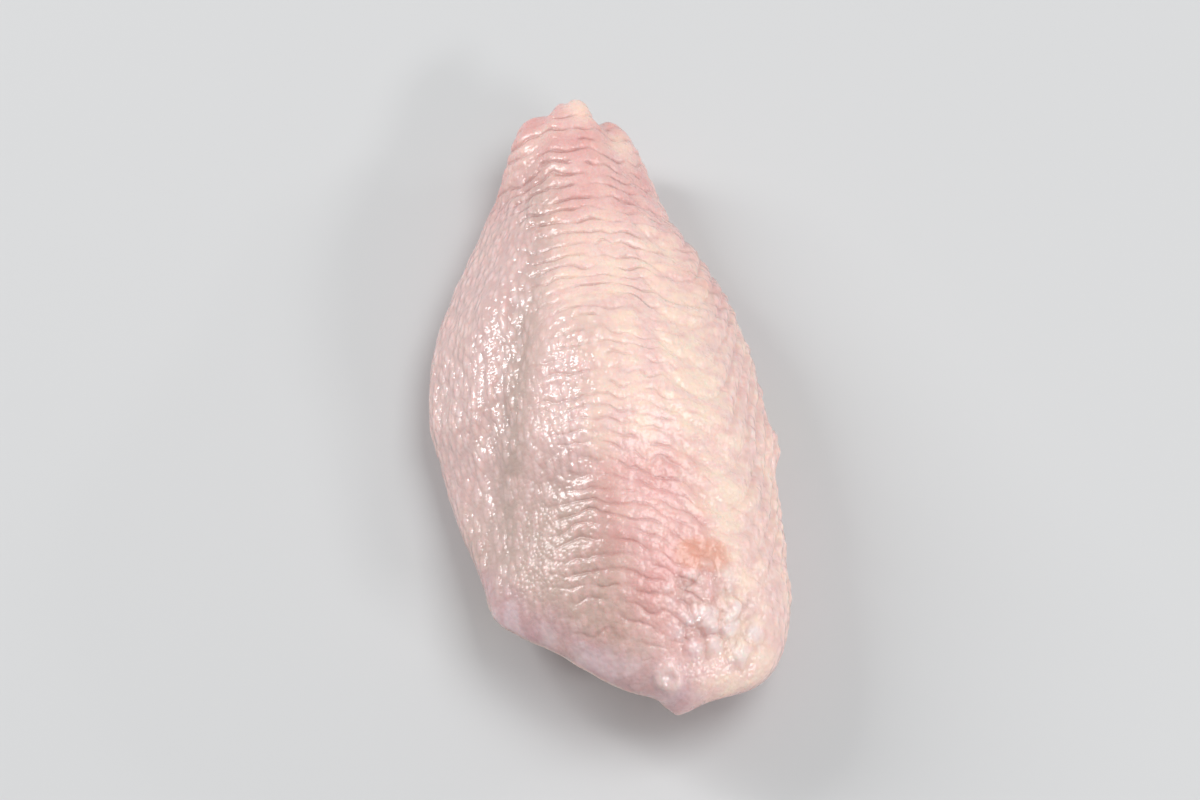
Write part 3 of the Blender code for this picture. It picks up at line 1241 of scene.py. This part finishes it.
@dataclass(frozen=True)
class SkinFolds:
    """Wrinkles, lumps and soft unevenness over the rest of the skin.

    Each pair of the unevenness is a height and the size of its lumps.
    """

    unevenness: tuple[Place, ...] = ((0.18, 9.0), (0.07, 2.4))
    lobe_middle: Place = (9.3, -32.0)
    lobe_reach: float = 5.8
    blister: float = 2.5
    blister_height: float = 1.3
    blister_gap: float = 0.17
    flap_middle: Place = (2.9, -38.6)
    drop_height: float = 0.75
    dimple: float = 0.35
    dimple_width: float = 0.8
    nub_middle: Place = (2.9, 39.9)
    nub_height: float = 0.5
    bulge_middle: Point = (14.0, -37.0, 8.0)
    bulge_width: float = 5.5
    bulge_height: float = 1.5
    web: float = 2.6
    web_depth: float = 0.07
    wrist_part: Span = (26.0, 36.0)
    wrist_middle: Place = (1.5, 8.0)
    wrist_folds: int = 7
    wrist_fold_height: float = 0.2

    def lobe(self, site: Site) -> Array:
        """1 on the lobe beside the flap, where the follicles stand up like blisters."""
        away = site.distance(self.lobe_middle) + 1.8 * NOISE.soft(site.points, 2.9)
        return rise(self.lobe_reach + 0.9, 0.6 * self.lobe_reach, away) * site.top

    def drop(self, site: Site) -> Array:
        """1 on the drop-like swelling at the flap, which is painted pale, partly as a painted highlight.
        """
        away = site.distance(self.flap_middle) + 0.5 * NOISE.soft(site.points, 1.6)
        return rise(2.2, 0.9, away) * site.top

    def nub(self, site: Site) -> Array:
        """1 on the folded nub at the wrist's tip."""
        return hump(site.distance(self.nub_middle), 0.0, 2.0) * site.top

    def _blisters(self, site: Site) -> tuple[Array, Array, Array]:
        """The blisters on the lobe.

        Args:
            site: the flesh's points.

        Returns:
            Their height, and the gaps between them and their tops from 0 to 1. The tops are painted pale,
            partly as painted highlights.
        """
        points, lobe = site.points, self.lobe(site)
        warped = points + 0.7 * NOISE.soft(points, 2.1)[:, None]
        nearest, second = NOISE.cells(warped, self.blister)
        gap = second - nearest
        height = self.blister_height * (0.5 - nearest**1.5) - self.blister_gap * rise(0.23, 0.0, gap)
        height = height * (0.38 + 0.75 * NOISE.patches(points, 3.1, (-0.4, 0.4)))
        # Pale tops of the blisters, partly painted highlights.
        pale_glint_tops = rise(0.6, 0.25, nearest + 0.15 * NOISE.soft(points, 1.0))
        return lobe * height, 0.8 * lobe * rise(0.24, 0.0, gap), lobe * pale_glint_tops

    def _belly_web(self, site: Site) -> Array:
        """The fine web of creases on the underside.

        Args:
            site: the flesh's points.

        Returns:
            1 in a crease, 0 elsewhere.
        """
        nearest, second = NOISE.cells(site.points * (1.0, 0.55, 1.0), self.web)
        web = rise(0.16, 0.0, second - nearest) * (1 - site.top)
        return web * (0.4 + 0.6 * NOISE.patches(site.points, 8.0, (-0.2, 0.5)))

    def _wrist_folds(self, site: Site) -> Array:
        """The folds that gather the skin at the wrist.

        Args:
            site: the flesh's points.

        Returns:
            Their height.
        """
        across, up = self.wrist_middle
        way_round = np.arctan2(site.z - up, site.x - across)
        turns = self.wrist_folds * way_round + 1.6 * NOISE.soft(site.points, 6.0, 2)
        return self.wrist_fold_height * rise(*self.wrist_part, site.y) * np.sin(turns)

    def relief(self, site: Site) -> tuple[Array, Array, Array]:
        """Works out the folds.

        Args:
            site: the flesh's points.

        Returns:
            The height, and the creases and the tops of the lobe's blisters from 0 to 1. The tops are
            painted pale, partly as painted highlights.
        """
        web = self._belly_web(site)
        blisters, gaps, pale_glint_tops = self._blisters(site)
        height = sum(high * NOISE.soft(site.points, size, 2) for high, size in self.unevenness)
        height += self._wrist_folds(site) + blisters - self.web_depth * web
        height += self.drop_height * self.drop(site) + self.nub_height * self.nub(site)
        height -= self.dimple * hump(site.distance(self.flap_middle), 0.0, self.dimple_width)
        bulge = np.linalg.norm(site.points - self.bulge_middle, axis=1)
        height += self.bulge_height * hump(bulge, 0.0, self.bulge_width)
        return height * site.skin, (web + gaps) * site.skin, pale_glint_tops


@dataclass(frozen=True)
class CutMuscle:
    """The muscle that shows inside the skin's lip at both cuts."""

    bundle: float = 3.0
    swell: float = 0.75
    seam: float = 0.55
    collar: float = 1.1
    hug: float = 1.5
    fibre: float = 0.10
    fullness: float = 0.25

    def relief(self, site: Site, bones: BVHTree) -> tuple[Array, Array]:
        """Works out the muscle.

        Args:
            site: the flesh's points.
            bones: the bones' surfaces, in metres.

        Returns:
            The height, and the seams between the bundles from 0 to 1.
        """
        height = np.zeros(len(site.points))
        seams = np.zeros(len(site.points))
        rows = np.flatnonzero(site.meat > 0.01)
        spots = site.points[rows]
        nearest, second = NOISE.cells(spots, self.bundle)
        seam = rise(0.22, 0.0, second - nearest)
        to_bone = np.array([bones.find_nearest(Vector(p * MM))[3] for p in spots]) / MM
        bundles = self.swell * (0.75 - nearest) - self.seam * seam
        fibres = self.fibre * NOISE.soft(spots * (1.0, 0.5, 1.0), 0.9, 2)
        collar = self.collar * hump(to_bone, 0.0, self.hug)
        height[rows] = site.meat[rows] * (bundles + fibres + collar + self.fullness)
        seams[rows] = seam * site.meat[rows] * NOISE.patches(spots, 4.0, (-0.3, 0.3))
        return height, seams


@dataclass(frozen=True)
class Zones:
    """Where each kind of relief lies on the flesh, from 0 to 1."""

    furrow: Array
    column: Array
    band: Array
    groove: Array
    creases: Array
    seams: Array
    # The tops of the lobe's blisters, painted pale partly as painted highlights.
    blisters: Array
    lobe: Array
    drop: Array
    nub: Array


@dataclass(frozen=True)
class Tones:
    """Says where each tone of the skin and the muscle lies."""

    tan_middle: Place = (8.8, -25.1)
    tan_size: Place = (3.1, 1.9)
    tan_squareness: float = 2.6
    flank_middle: Place = (15.5, 17.6)
    flank_width: float = 3.6
    flank_tall: float = 2.2
    shoulder_middle: Place = (7.1, 34.1)
    shoulder_width: float = 2.6
    vein_side: float = 4.0
    vein_sway: float = 2.2
    vein_wave: float = 9.0
    vein_width: float = 0.75
    wrist_part: Span = (14.0, 31.0)
    margin_reach: Span = (6.2, 2.8)
    margin_side: Span = (10.0, 4.0)
    margin_facing: Span = (-0.3, 0.4)
    sheen_start: Span = (17.0, 22.0)
    sheen_facing: Span = (-0.6, -0.1)
    sheen_end: Span = (28.0, 20.0)
    edge_start: Span = (6.0, 13.0)
    edge_end: Span = (26.0, 12.0)
    crown_middle: float = 2.5
    crown_width: float = 5.0
    crown_ends: tuple[Span, Span] = ((-16.0, -4.0), (28.0, 16.0))
    smooth_side: Span = (0.0, -9.0)
    smooth_part: Span = (-4.0, -18.0)
    groove_fade: Span = (4.0, 18.0)
    low_rows_ends: tuple[Span, Span] = ((-39.0, -31.0), (-6.0, -20.0))
    low_rows_start: Span = (-11.0, 2.0)
    low_rows_stop: Span = (14.0, 9.0)

    def marks(self, site: Site, zones: Zones) -> dict[Mark, Array]:
        """The marks of the whole flesh.

        Args:
            site: the flesh's points.
            zones: where its relief lies.

        Returns:
            A number from 0 to 1 for each mark and point.
        """
        found = self._skin(site, zones) | self._cuts(site)
        found[Mark.CREASE] = 0.5 * zones.creases + zones.seams
        return {mark: np.clip(values, 0, 1) for mark, values in found.items()}

    def _margin(self, site: Site) -> Array:
        """The mauve margin along the elbow's lip.

        Args:
            site: the flesh's points.

        Returns:
            1 on the margin.
        """
        reach = rise(*self.margin_reach, site.from_lip() + NOISE.soft(site.points, 4.0))
        shape = reach * rise(*self.margin_side, site.x) * rise(*self.margin_facing, site.normals[:, 2])
        return shape * (0.75 + 0.25 * NOISE.soft(site.points, 3.0))

    def _sheen(self, site: Site) -> Array:
        """1 on the steep flank of the trailing side, which is grainy and hardly cream, so it is painted
        paler there as a sheen.
        """
        facing = rise(*self.sheen_facing, site.normals[:, 2])
        return rise(*self.sheen_start, site.over) * facing * rise(*self.sheen_end, site.y)

    def _tan(self, site: Site) -> Array:
        """The tan spot above the lobe.

        Args:
            site: the flesh's points.

        Returns:
            1 on the spot.
        """
        wide = np.abs((site.x - self.tan_middle[0]) / self.tan_size[0]) ** self.tan_squareness
        high = np.abs((site.y - self.tan_middle[1]) / self.tan_size[1]) ** self.tan_squareness
        away = (wide + high) ** (1 / self.tan_squareness) + 0.12 * NOISE.soft(site.points, 2.0, 2)
        return rise(1.3, 0.75, away) * site.top

    def _cream(self, site: Site, zones: Zones, patchy: Array) -> Array:
        """The cream fat under the skin.

        Args:
            site: the flesh's points.
            zones: where its relief lies.
            patchy: large patches from 0 to 1.

        Returns:
            1 where it is strongest.
        """
        edge = rise(*self.edge_start, site.over) * rise(*self.edge_end, site.y)
        # The flank's cream is cut back, so it is painted paler as a sheen.
        edge = 0.85 * edge * (1 - 0.7 * self._sheen(site))
        crown = hump(site.over, self.crown_middle, self.crown_width)
        crown = 0.55 * crown * plateau(site.y, *self.crown_ends)
        shoulder = 0.7 * hump(site.distance(self.shoulder_middle), 0.0, self.shoulder_width)
        cream = 0.45 * zones.column + 0.9 * zones.nub + 0.5 * (patchy - 0.3)
        return cream + (edge + crown + shoulder) * site.top

    def _pink(self, site: Site, zones: Zones, patchy: Array) -> Array:
        """The pink of the wrist, the lower rows, the flank and the underside.

        Args:
            site: the flesh's points.
            zones: where its relief lies.
            patchy: large patches from 0 to 1.

        Returns:
            1 where it is strongest.
        """
        shoulder = hump(site.distance(self.shoulder_middle), 0.0, self.shoulder_width)
        wrist = 0.75 * rise(*self.wrist_part, site.y) * (1 - 0.6 * shoulder)
        low_rows = plateau(site.y, *self.low_rows_ends)
        low_rows *= rise(*self.low_rows_start, site.x) * rise(*self.low_rows_stop, site.over)
        flank = hump(site.distance(self.flank_middle, self.flank_tall), 0.0, self.flank_width)
        belly = 0.4 * patchy * (1 - site.top)
        pink = wrist + 1.05 * low_rows + 0.9 * flank + belly + 0.1
        return pink * (1 - 0.7 * zones.nub)

    def _grey(self, site: Site, zones: Zones) -> Array:
        """The grey of the groove, the leading band and the smooth skin below them. In the groove it is
        partly the thin skin's tone and partly painted shade.

        Args:
            site: the flesh's points.
            zones: where its relief lies.

        Returns:
            1 where it is strongest.
        """
        smooth = rise(*self.smooth_side, site.x + 0.15 * site.y) * rise(*self.smooth_part, site.y)
        # Painted shade in the groove, with the thin skin's own grey.
        groove = zones.groove * (0.9 - 0.4 * rise(*self.groove_fade, site.y))
        streaks = 0.5 + 0.5 * NOISE.soft(site.points * (1.0, 0.4, 1.0), 1.6, 2)
        band = 0.22 * zones.band * (0.4 + streaks)
        return np.maximum(np.maximum(groove, 0.75 * smooth * site.top), band)

    def _vein(self, site: Site) -> Array:
        """1 along the faint vein of the underside."""
        away = site.x - self.vein_side - self.vein_sway * np.sin(site.y / self.vein_wave)
        return hump(away, 0.0, self.vein_width) * NOISE.patches(site.points, 9.0, (-0.3, 0.3))

    def _skin(self, site: Site, zones: Zones) -> dict[Mark, Array]:
        """The marks of the skin.

        Args:
            site: the flesh's points.
            zones: where its relief lies.

        Returns:
            The values for each of its marks, which may pass 0 or 1.
        """
        points, skin = site.points, site.skin
        belly = 1 - site.top
        patchy = 0.5 + 0.5 * NOISE.soft(points, 6.0, 3)
        margin, tan = self._margin(site), self._tan(site)
        bruises = 0.35 * belly * NOISE.patches(points, 10.0, (0.1, 0.6), 2)
        grain = np.maximum(np.maximum(zones.band, 0.45 * zones.lobe), 0.55 * self._sheen(site))
        # Whitish patches on the margin are a painted sheen.
        painted_sheen = 0.75 * margin * NOISE.patches(points * (0.7, 1.0, 1.0), 2.6, (0.0, 0.45), 2)
        # The drop and the blister tops are painted pale, partly as painted highlights.
        pale_and_glint = np.maximum(0.45 * zones.drop, 0.9 * zones.blisters)
        return {
            Mark.FURROW: zones.furrow * (1 - 0.6 * margin) * (1 - 0.8 * tan),
            Mark.CREAM: self._cream(site, zones, patchy) * skin,
            Mark.PINK: self._pink(site, zones, patchy) * skin,
            Mark.GREY: self._grey(site, zones) * skin,
            Mark.MAUVE: (margin * (1 - zones.drop) + bruises) * skin,
            Mark.TAN: tan,
            Mark.GRAIN: grain * (1 - zones.drop) * skin,
            Mark.DROP: np.maximum(pale_and_glint, painted_sheen) * skin,
            Mark.VEIN: 0.55 * self._vein(site) * belly * skin,
        }

    @staticmethod
    def _cuts(site: Site) -> dict[Mark, Array]:
        """The marks of the cut faces and of the skin's rim round them. The dark red lines along the lips
        are partly blood and partly painted shadow.

        Args:
            site: the flesh's points.

        Returns:
            The values for each of their marks.
        """
        points = site.points
        fat = 0.6 * (1 - site.top) * NOISE.patches(points, 8.5, (0.1, 0.5), 2) * site.skin
        fat = np.maximum(fat, 0.45 * site.meat * NOISE.patches(points, 4.2, (0.3, 0.6)))
        blood = np.zeros(len(points))
        for cut, red_line_share in ((ELBOW, 1.0), (WRIST, 0.4)):
            inset, near = cut.inset(points), cut.near(points)
            under = hump(inset, 1.25, 0.5) * near * NOISE.patches(points, 2.6, (-0.1, 0.4))
            # Dark red lines along the lip: partly blood, partly painted shadow under the skin's edge.
            line = hump(inset, 1.75, 0.5) * near * NOISE.patches(points, 3.4, (-0.1, 0.4), 2)
            edge = hump(inset, 0.5, 0.35) * near * NOISE.patches(points, 5.5, (-0.2, 0.3))
            upper = rise(0.0, 2.0, cut.flat(points)[:, 1])
            fat = np.maximum(fat, 0.85 * under)
            blood = np.maximum(blood, red_line_share * np.maximum(0.9 * line, 0.7 * edge * upper))
        return {Mark.MEAT: site.meat, Mark.RIM: site.rim, Mark.FAT: fat, Mark.BLOOD: blood}


@dataclass
class Flesh:
    """The skin and the muscle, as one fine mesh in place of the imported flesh."""

    node: bpy.types.Object
    bone_nodes: tuple[bpy.types.Object, ...]
    finish: FleshFinish = FleshFinish()
    tones: Tones = Tones()
    rows: FollicleRows = FollicleRows()
    band: LeadingBand = LeadingBand()
    edge: TrailingEdge = TrailingEdge()
    folds: SkinFolds = SkinFolds()
    muscle: CutMuscle = CutMuscle()
    voxel: float = 0.313
    bone_gap: float = 0.45
    rounds: int = 26
    rim_height: float = 0.16
    resting_height: Span = (0.9, 0.1)
    facing_down: Span = (-0.6, -0.9)

    def _bones(self) -> BVHTree:
        """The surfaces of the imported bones, for distances.

        Returns:
            One tree over all of them.
        """
        shape = bmesh.new()
        for node in self.bone_nodes:
            shape.from_mesh(node.data)
        tree = BVHTree.FromBMesh(shape)
        shape.free()
        return tree

    def _shape(self, bones: BVHTree) -> bmesh.types.BMesh:
        """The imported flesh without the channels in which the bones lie.

        Args:
            bones: the bones' surfaces, in metres.

        Returns:
            The closed shape.
        """
        shape = welded(self.node)
        lining = {v for v in shape.verts if bones.find_nearest(v.co)[3] < self.bone_gap * MM}
        channel = [face for face in shape.faces if all(v in lining for v in face.verts)]
        bmesh.ops.delete(shape, geom=channel, context="FACES")
        loose = [v for v in shape.verts if not v.link_faces]
        bmesh.ops.delete(shape, geom=loose, context="VERTS")
        bmesh.ops.holes_fill(shape, edges=[e for e in shape.edges if e.is_boundary], sides=0)
        bmesh.ops.triangulate(shape, faces=[f for f in shape.faces if len(f.verts) > 4])
        bmesh.ops.recalc_face_normals(shape, faces=shape.faces)
        return shape

    def _smooth_mesh(self, bones: BVHTree) -> tuple[FineMesh, Site]:
        """The fine mesh before its relief, smooth on the skin and kept crisp at the cuts.

        Args:
            bones: the bones' surfaces, in metres.

        Returns:
            The mesh, and its points as the relief reads them.
        """
        fine = FineMesh("wing_flesh", self._shape(bones), self.voxel)
        wing = WingMap(fine.points)
        site = Site(fine.points, fine.normals(), wing)
        fine.relax(self.rounds, 0.5 * (1 - 0.8 * np.maximum(site.rim, site.meat)))
        return fine, Site(fine.points.copy(), fine.normals(), wing)

    def build(self) -> bpy.types.Object:
        """Makes the mesh, its relief and its marks.

        Returns:
            The finished piece.
        """
        bones = self._bones()
        fine, site = self._smooth_mesh(bones)
        phase = self.rows.phase(site)
        rows, furrow, column = self.rows.relief(site, phase)
        band_height, band, groove = self.band.relief(site)
        folds, creases, blisters = self.folds.relief(site)
        muscle, seams = self.muscle.relief(site, bones)
        rim = self.rim_height * site.rim * NOISE.soft(site.points, 1.6)
        pressed = rise(*self.resting_height, site.z) * rise(*self.facing_down, site.normals[:, 2])
        height = rows + band_height + folds + rim + self.edge.relief(site)
        fine.push(height * (1 - pressed) + muscle, site.normals)
        fine.points[:, 2] = np.maximum(fine.points[:, 2], 0.0)

        zones = Zones(
            furrow=furrow,
            column=column,
            band=band,
            groove=groove,
            creases=creases,
            seams=seams,
            blisters=blisters,
            lobe=self.folds.lobe(site),
            drop=self.folds.drop(site),
            nub=self.folds.nub(site),
        )
        marks = {mark.value: values for mark, values in self.tones.marks(site, zones).items()}
        marks[ROW_MARK] = phase
        return settle(fine.piece(marks, self.finish.material()), "flesh", "flesh")


@dataclass(frozen=True)
class Knuckle:
    """The end of a bone at a cut, in the cut's own numbers."""

    across: float
    up: float
    depth: float
    radius: float

    @classmethod
    def of(cls, points: Array, cut: Cut, reach: float = 2.5) -> Knuckle:
        """Measures it on a bone.

        Args:
            points: the bone's points.
            cut: the cut at which it ends.
            reach: how far behind the bone's tip the points count.

        Returns:
            The knuckle.
        """
        flat = cut.flat(points)
        tip = flat[:, 2].max()
        close = flat[flat[:, 2] > tip - reach]
        middle = close.mean(axis=0)
        radius = np.hypot(close[:, 0] - middle[0], close[:, 1] - middle[1]).max()
        return cls(float(middle[0]), float(middle[1]), float(-tip), float(radius))


@dataclass
class Bone:
    """One bone, with gristle on the knuckle at each end."""

    name: str
    node: bpy.types.Object
    finish: bpy.types.Material
    voxel: float = 0.26
    rounds: int = 16
    gristle: float = 3.0
    notch: float = 0.85
    notch_width: float = 1.0
    notch_lean: float = 0.35
    notch_end: Span = (2.6, 0.4)

    def build(self) -> bpy.types.Object:
        """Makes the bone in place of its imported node.

        Returns:
            The finished piece.
        """
        fine = FineMesh(self.name + "_bone", welded(self.node), self.voxel)
        fine.relax(self.rounds)
        height = 0.14 * NOISE.soft(fine.points, 2.4, 2) + 0.05 * NOISE.soft(fine.points, 0.9)
        tips = np.zeros(len(fine.points))
        stains = np.zeros(len(fine.points))
        patchy = NOISE.soft(fine.points, 1.6, 2)
        for cut in CUTS:
            flat = cut.flat(fine.points)
            knuckle = Knuckle.of(fine.points, cut)
            depth = -flat[:, 2] - knuckle.depth
            side = flat[:, 0] - knuckle.across - self.notch_lean * (flat[:, 1] - knuckle.up)
            height -= self.notch * hump(side, 0.0, self.notch_width) * rise(*self.notch_end, depth)
            tips = np.maximum(tips, rise(self.gristle, 0.6 * self.gristle, depth + 0.7 * patchy))
            stains = np.maximum(stains, hump(depth, 0.8 * self.gristle, 0.9) * rise(-0.2, 0.4, patchy))
        fine.push(height * (0.3 + 0.7 * tips))
        return settle(fine.piece({"gristle": tips, "stain": stains}, self.finish), "bone", self.name)


@dataclass(frozen=True)
class Run:
    """A row of lumps under a cut's lip, from one angle to another round the lip's oval."""

    start: float
    end: float
    share: float
    depth: float
    size: float


ELBOW_FAT = (
    Run(start=-32.0, end=14.0, share=0.84, depth=2.0, size=0.95),
    Run(start=62.0, end=104.0, share=0.80, depth=1.9, size=0.85),
    Run(start=160.0, end=196.0, share=0.86, depth=1.9, size=0.9),
    Run(start=246.0, end=280.0, share=0.82, depth=2.1, size=0.8),
)
WRIST_FAT = (
    Run(start=200.0, end=250.0, share=0.74, depth=1.7, size=0.6),
    Run(start=-30.0, end=8.0, share=0.80, depth=1.7, size=0.55),
)
ELBOW_BLOOD = (
    Run(start=205.0, end=222.0, share=0.72, depth=2.5, size=0.7),
    Run(start=300.0, end=312.0, share=0.66, depth=2.5, size=0.6),
)


def lump(shape: bmesh.types.BMesh, place: Array, radii: Array, turn: float) -> None:
    """Adds one rounded lump to a shape.

    Args:
        shape: the shape that it joins.
        place: its middle.
        radii: its three half sizes.
        turn: how far it is turned about Z, in radians.
    """
    matrix = Matrix.Translation(Vector(place * MM)) @ Matrix.Rotation(turn, 4, "Z")
    matrix = matrix @ Matrix.Diagonal((*(radii * MM), 1.0))
    bmesh.ops.create_icosphere(shape, subdivisions=3, radius=1.0, matrix=matrix)


@dataclass
class Lumps:
    """Small lumps that have grown together under a cut's lip, such as fat or a clot."""

    name: str
    cut: Cut
    runs: tuple[Run, ...]
    finish: bpy.types.Material
    seed: int
    voxel: float = 0.22
    spacing: float = 0.7
    roundness: float = 0.8
    scatter: float = 0.22
    radii: Span = (0.55, 0.95)

    def build(self) -> bpy.types.Object:
        """Makes the lumps as one fine mesh.

        Returns:
            The finished piece.
        """
        draw = np.random.default_rng(self.seed)
        shape = bmesh.new()
        for run in self.runs:
            length = math.radians(abs(run.end - run.start)) * self.cut.half_width * self.roundness
            count = max(3, round(length / (self.spacing * run.size)))
            for angle in np.linspace(run.start, run.end, count):
                where = self.cut.on_oval(angle, run.share, run.depth)
                where = where + draw.normal(0.0, self.scatter * run.size, 3)
                radii = run.size * draw.uniform(*self.radii, 3)
                lump(shape, self.cut.point(*where), radii, draw.uniform(0, math.pi))
        fine = FineMesh(self.name, shape, self.voxel)
        fine.relax(3)
        fine.push(0.12 * NOISE.soft(fine.points, 1.1, 2))
        return settle(fine.piece({}, self.finish), "flesh")


@dataclass
class Sinews:
    """Torn white strands that run from a knuckle into the muscle round it.

    The reach and the drop say how far each of a strand's points lies from the knuckle's middle, in
    radii, and how far below its tip. The last point is spread further and lies in the muscle.
    """

    name: str
    cut: Cut
    knuckles: tuple[Knuckle, ...]
    finish: bpy.types.Material
    seed: int
    voxel: float = 0.15
    strands: int = 4
    thickness: float = 0.36
    reach: tuple[float, ...] = (0.5, 0.85, 1.25, 1.4)
    drop: tuple[float, ...] = (1.4, 1.1, 1.7)
    width: tuple[float, ...] = (1.5, 1.0, 0.75, 1.3)
    twist: float = 0.22
    flatness: float = 0.8
    meat_depth: float = 4.5

    def _strand(self, knuckle: Knuckle, angle: float, spread: float) -> list[Array]:
        """The points of one strand, from the knuckle's side out into the muscle.

        Args:
            knuckle: where it starts.
            angle: the way in which it leaves the knuckle, in radians.
            spread: how much further its end lies, in the knuckle's radii.

        Returns:
            The points.
        """
        reach = (*self.reach[:-1], self.reach[-1] + spread)
        drop = (*self.drop, self.meat_depth - knuckle.depth)
        points = []
        for number, (share, down) in enumerate(zip(reach, drop)):
            turn = angle + self.twist * number
            across = knuckle.across + share * knuckle.radius * math.cos(turn)
            up = knuckle.up + share * knuckle.radius * math.sin(turn) * self.flatness
            points.append(self.cut.point(across, up, knuckle.depth + down))
        return points

    def _add_spline(self, curve: bpy.types.Curve, points: list[Array], thick: float) -> None:
        """Adds one smooth strand to the curve.

        Args:
            curve: the curve of all the strands.
            points: the strand's points.
            thick: how many times as thick as usual it is.
        """
        spline = curve.splines.new("BEZIER")
        spline.bezier_points.add(len(points) - 1)
        for knot, place, width in zip(spline.bezier_points, points, self.width):
            knot.co = Vector(place * MM)
            knot.handle_left_type = knot.handle_right_type = "AUTO"
            knot.radius = width * thick

    def build(self) -> bpy.types.Object:
        """Makes all the strands as one fine mesh.

        Returns:
            The finished piece.
        """
        draw = np.random.default_rng(self.seed)
        curve = bpy.data.curves.new(self.name, "CURVE")
        curve.dimensions = "3D"
        curve.bevel_depth = self.thickness * MM / 2
        curve.bevel_resolution = 2
        curve.use_fill_caps = True
        curve.resolution_u = 6
        for knuckle in self.knuckles:
            start = draw.uniform(0, math.tau)
            for number in range(self.strands):
                angle = start + number * math.tau / self.strands + draw.normal(0, 0.25)
                points = self._strand(knuckle, angle, draw.uniform(0.3, 0.8))
                self._add_spline(curve, points, draw.uniform(0.7, 1.5))
        tube = evaluated_mesh(linked(self.name + "_line", curve))
        shape = bmesh.new()
        shape.from_mesh(tube)
        bpy.data.meshes.remove(tube)
        bmesh.ops.remove_doubles(shape, verts=shape.verts, dist=0.01 * MM)
        bmesh.ops.recalc_face_normals(shape, faces=shape.faces)
        fine = FineMesh(self.name, shape, self.voxel)
        fine.push(0.08 * NOISE.soft(fine.points, 0.8, 2))
        fine.relax(3)
        return settle(fine.piece({}, self.finish), "flesh")


@dataclass(frozen=True)
class Lamp:
    """A flat soft light that looks at the wing, and whose length runs the given way."""

    name: str
    place: Point
    along: Point
    width: float
    length: float
    watts: float

    def build(self, target: Vector) -> None:
        """Adds the light.

        Args:
            target: the place at which it looks.
        """
        light = bpy.data.lights.new(self.name, "AREA")
        light.shape = "RECTANGLE"
        light.size = self.width
        light.size_y = self.length
        light.energy = self.watts
        back = (Vector(self.place) - target).normalized()
        along = Vector(self.along)
        along = (along - back * along.dot(back)).normalized()
        lamp = linked(self.name, light)
        lamp.location = self.place
        lamp.visible_camera = False
        lamp.rotation_euler = Matrix((along.cross(back), along, back)).transposed().to_euler()


@dataclass
class Studio:
    """The floor, the lights and the camera."""

    elevation: float = 66.0
    lean: float = 8.0
    lens: float = 180.0
    sensor: float = 36.0
    frame_shape: float = 800 / 1200
    fill: float = 0.88
    floor_size: float = 4.0
    sky: Colour = (1.0, 1.0, 1.0)
    sky_strength: float = 0.33
    lamps: tuple[Lamp, ...] = (
        Lamp("overhead", (0.42, 0.05, 1.02), (0.0, 1.0, 0.0), 0.60, 0.60, 5.15),
        Lamp("left", (-0.56, 0.40, 0.46), (0.5, 0.1, 0.7), 0.14, 0.46, 3.4),
        Lamp("front", (0.49, -0.48, 0.41), (0.7, 0.7, 0.0), 0.07, 0.26, 1.5),
        Lamp("right", (0.60, 0.06, 0.22), (0.0, 1.0, 0.0), 0.03, 0.10, 0.3),
    )

    def build(self) -> None:
        """Makes the whole studio."""
        low, high = (Vector(corner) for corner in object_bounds())
        middle = (low + high) / 2
        self._floor(low.z)
        self._camera(middle, high - low)
        for lamp in self.lamps:
            lamp.build(middle)
        world = bpy.data.worlds.new("studio")
        world.use_nodes = True
        background = world.node_tree.nodes["Background"]
        background.inputs["Color"].default_value = (*self.sky, 1.0)
        background.inputs["Strength"].default_value = self.sky_strength
        bpy.context.scene.world = world
        bpy.context.scene.view_settings.view_transform = "Standard"

    def _floor(self, height: float) -> None:
        """Makes a wide plain floor.

        Args:
            height: the height on which the wing rests, in metres.
        """
        shape = bmesh.new()
        bmesh.ops.create_grid(shape, x_segments=2, y_segments=2, size=self.floor_size / 2)
        bmesh.ops.translate(shape, verts=shape.verts, vec=(0, 0, height))
        mesh = bpy.data.meshes.new("floor")
        shape.to_mesh(mesh)
        shape.free()
        mesh.materials.append(FloorFinish().material())
        linked("floor", mesh)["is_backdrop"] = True

    def _camera(self, middle: Vector, size: Vector) -> None:
        """Makes a long lens at the photograph's angle, with the wing upright in the frame.

        Args:
            middle: the middle of the wing, in metres.
            size: its size.
        """
        lift, turn = math.radians(self.elevation), math.radians(self.lean)
        level = Vector((-math.sin(turn), -math.cos(turn), 0.0))
        back = level * math.cos(lift) + Vector((0.0, 0.0, math.sin(lift)))
        view_height = (size.y * math.sin(lift) + size.z * math.cos(lift)) / self.fill
        camera = bpy.data.cameras.new("camera")
        camera.lens = self.lens
        camera.sensor_width = self.sensor
        camera.clip_start = 0.01
        made = linked("camera", camera)
        made.location = middle + back * view_height * self.lens / (self.sensor * self.frame_shape)
        made.rotation_euler = (-back).to_track_quat("-Z", "Y").to_euler()
        bpy.context.scene.camera = made


def main() -> None:
    """Builds every piece in order."""
    logging.basicConfig(level=logging.INFO, format="%(message)s")
    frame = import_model()
    nodes = frame["nodes"]
    gristle = GristleFinish().material()
    fat, sinew, blood = FAT_FINISH.material(), SINEW_FINISH.material(), BLOOD_FINISH.material()

    Studio().build()
    Flesh(nodes["flesh"], tuple(nodes[name] for name in BONES)).build()
    for name in BONES:
        Bone(name, nodes[name], gristle).build()
    bone_points = [mesh_points(nodes[name].data) for name in BONES]
    for end, cut, seed in (("elbow", ELBOW, 21), ("wrist", WRIST, 22)):
        knuckles = tuple(Knuckle.of(points, cut) for points in bone_points)
        Sinews(end + "_sinews", cut, knuckles, sinew, seed).build()
    Lumps("elbow_fat", ELBOW, ELBOW_FAT, fat, seed=3).build()
    Lumps("wrist_fat", WRIST, WRIST_FAT, fat, seed=4).build()
    Lumps("elbow_blood", ELBOW, ELBOW_BLOOD, blood, seed=5).build()


if __name__ == "__main__":
    main()
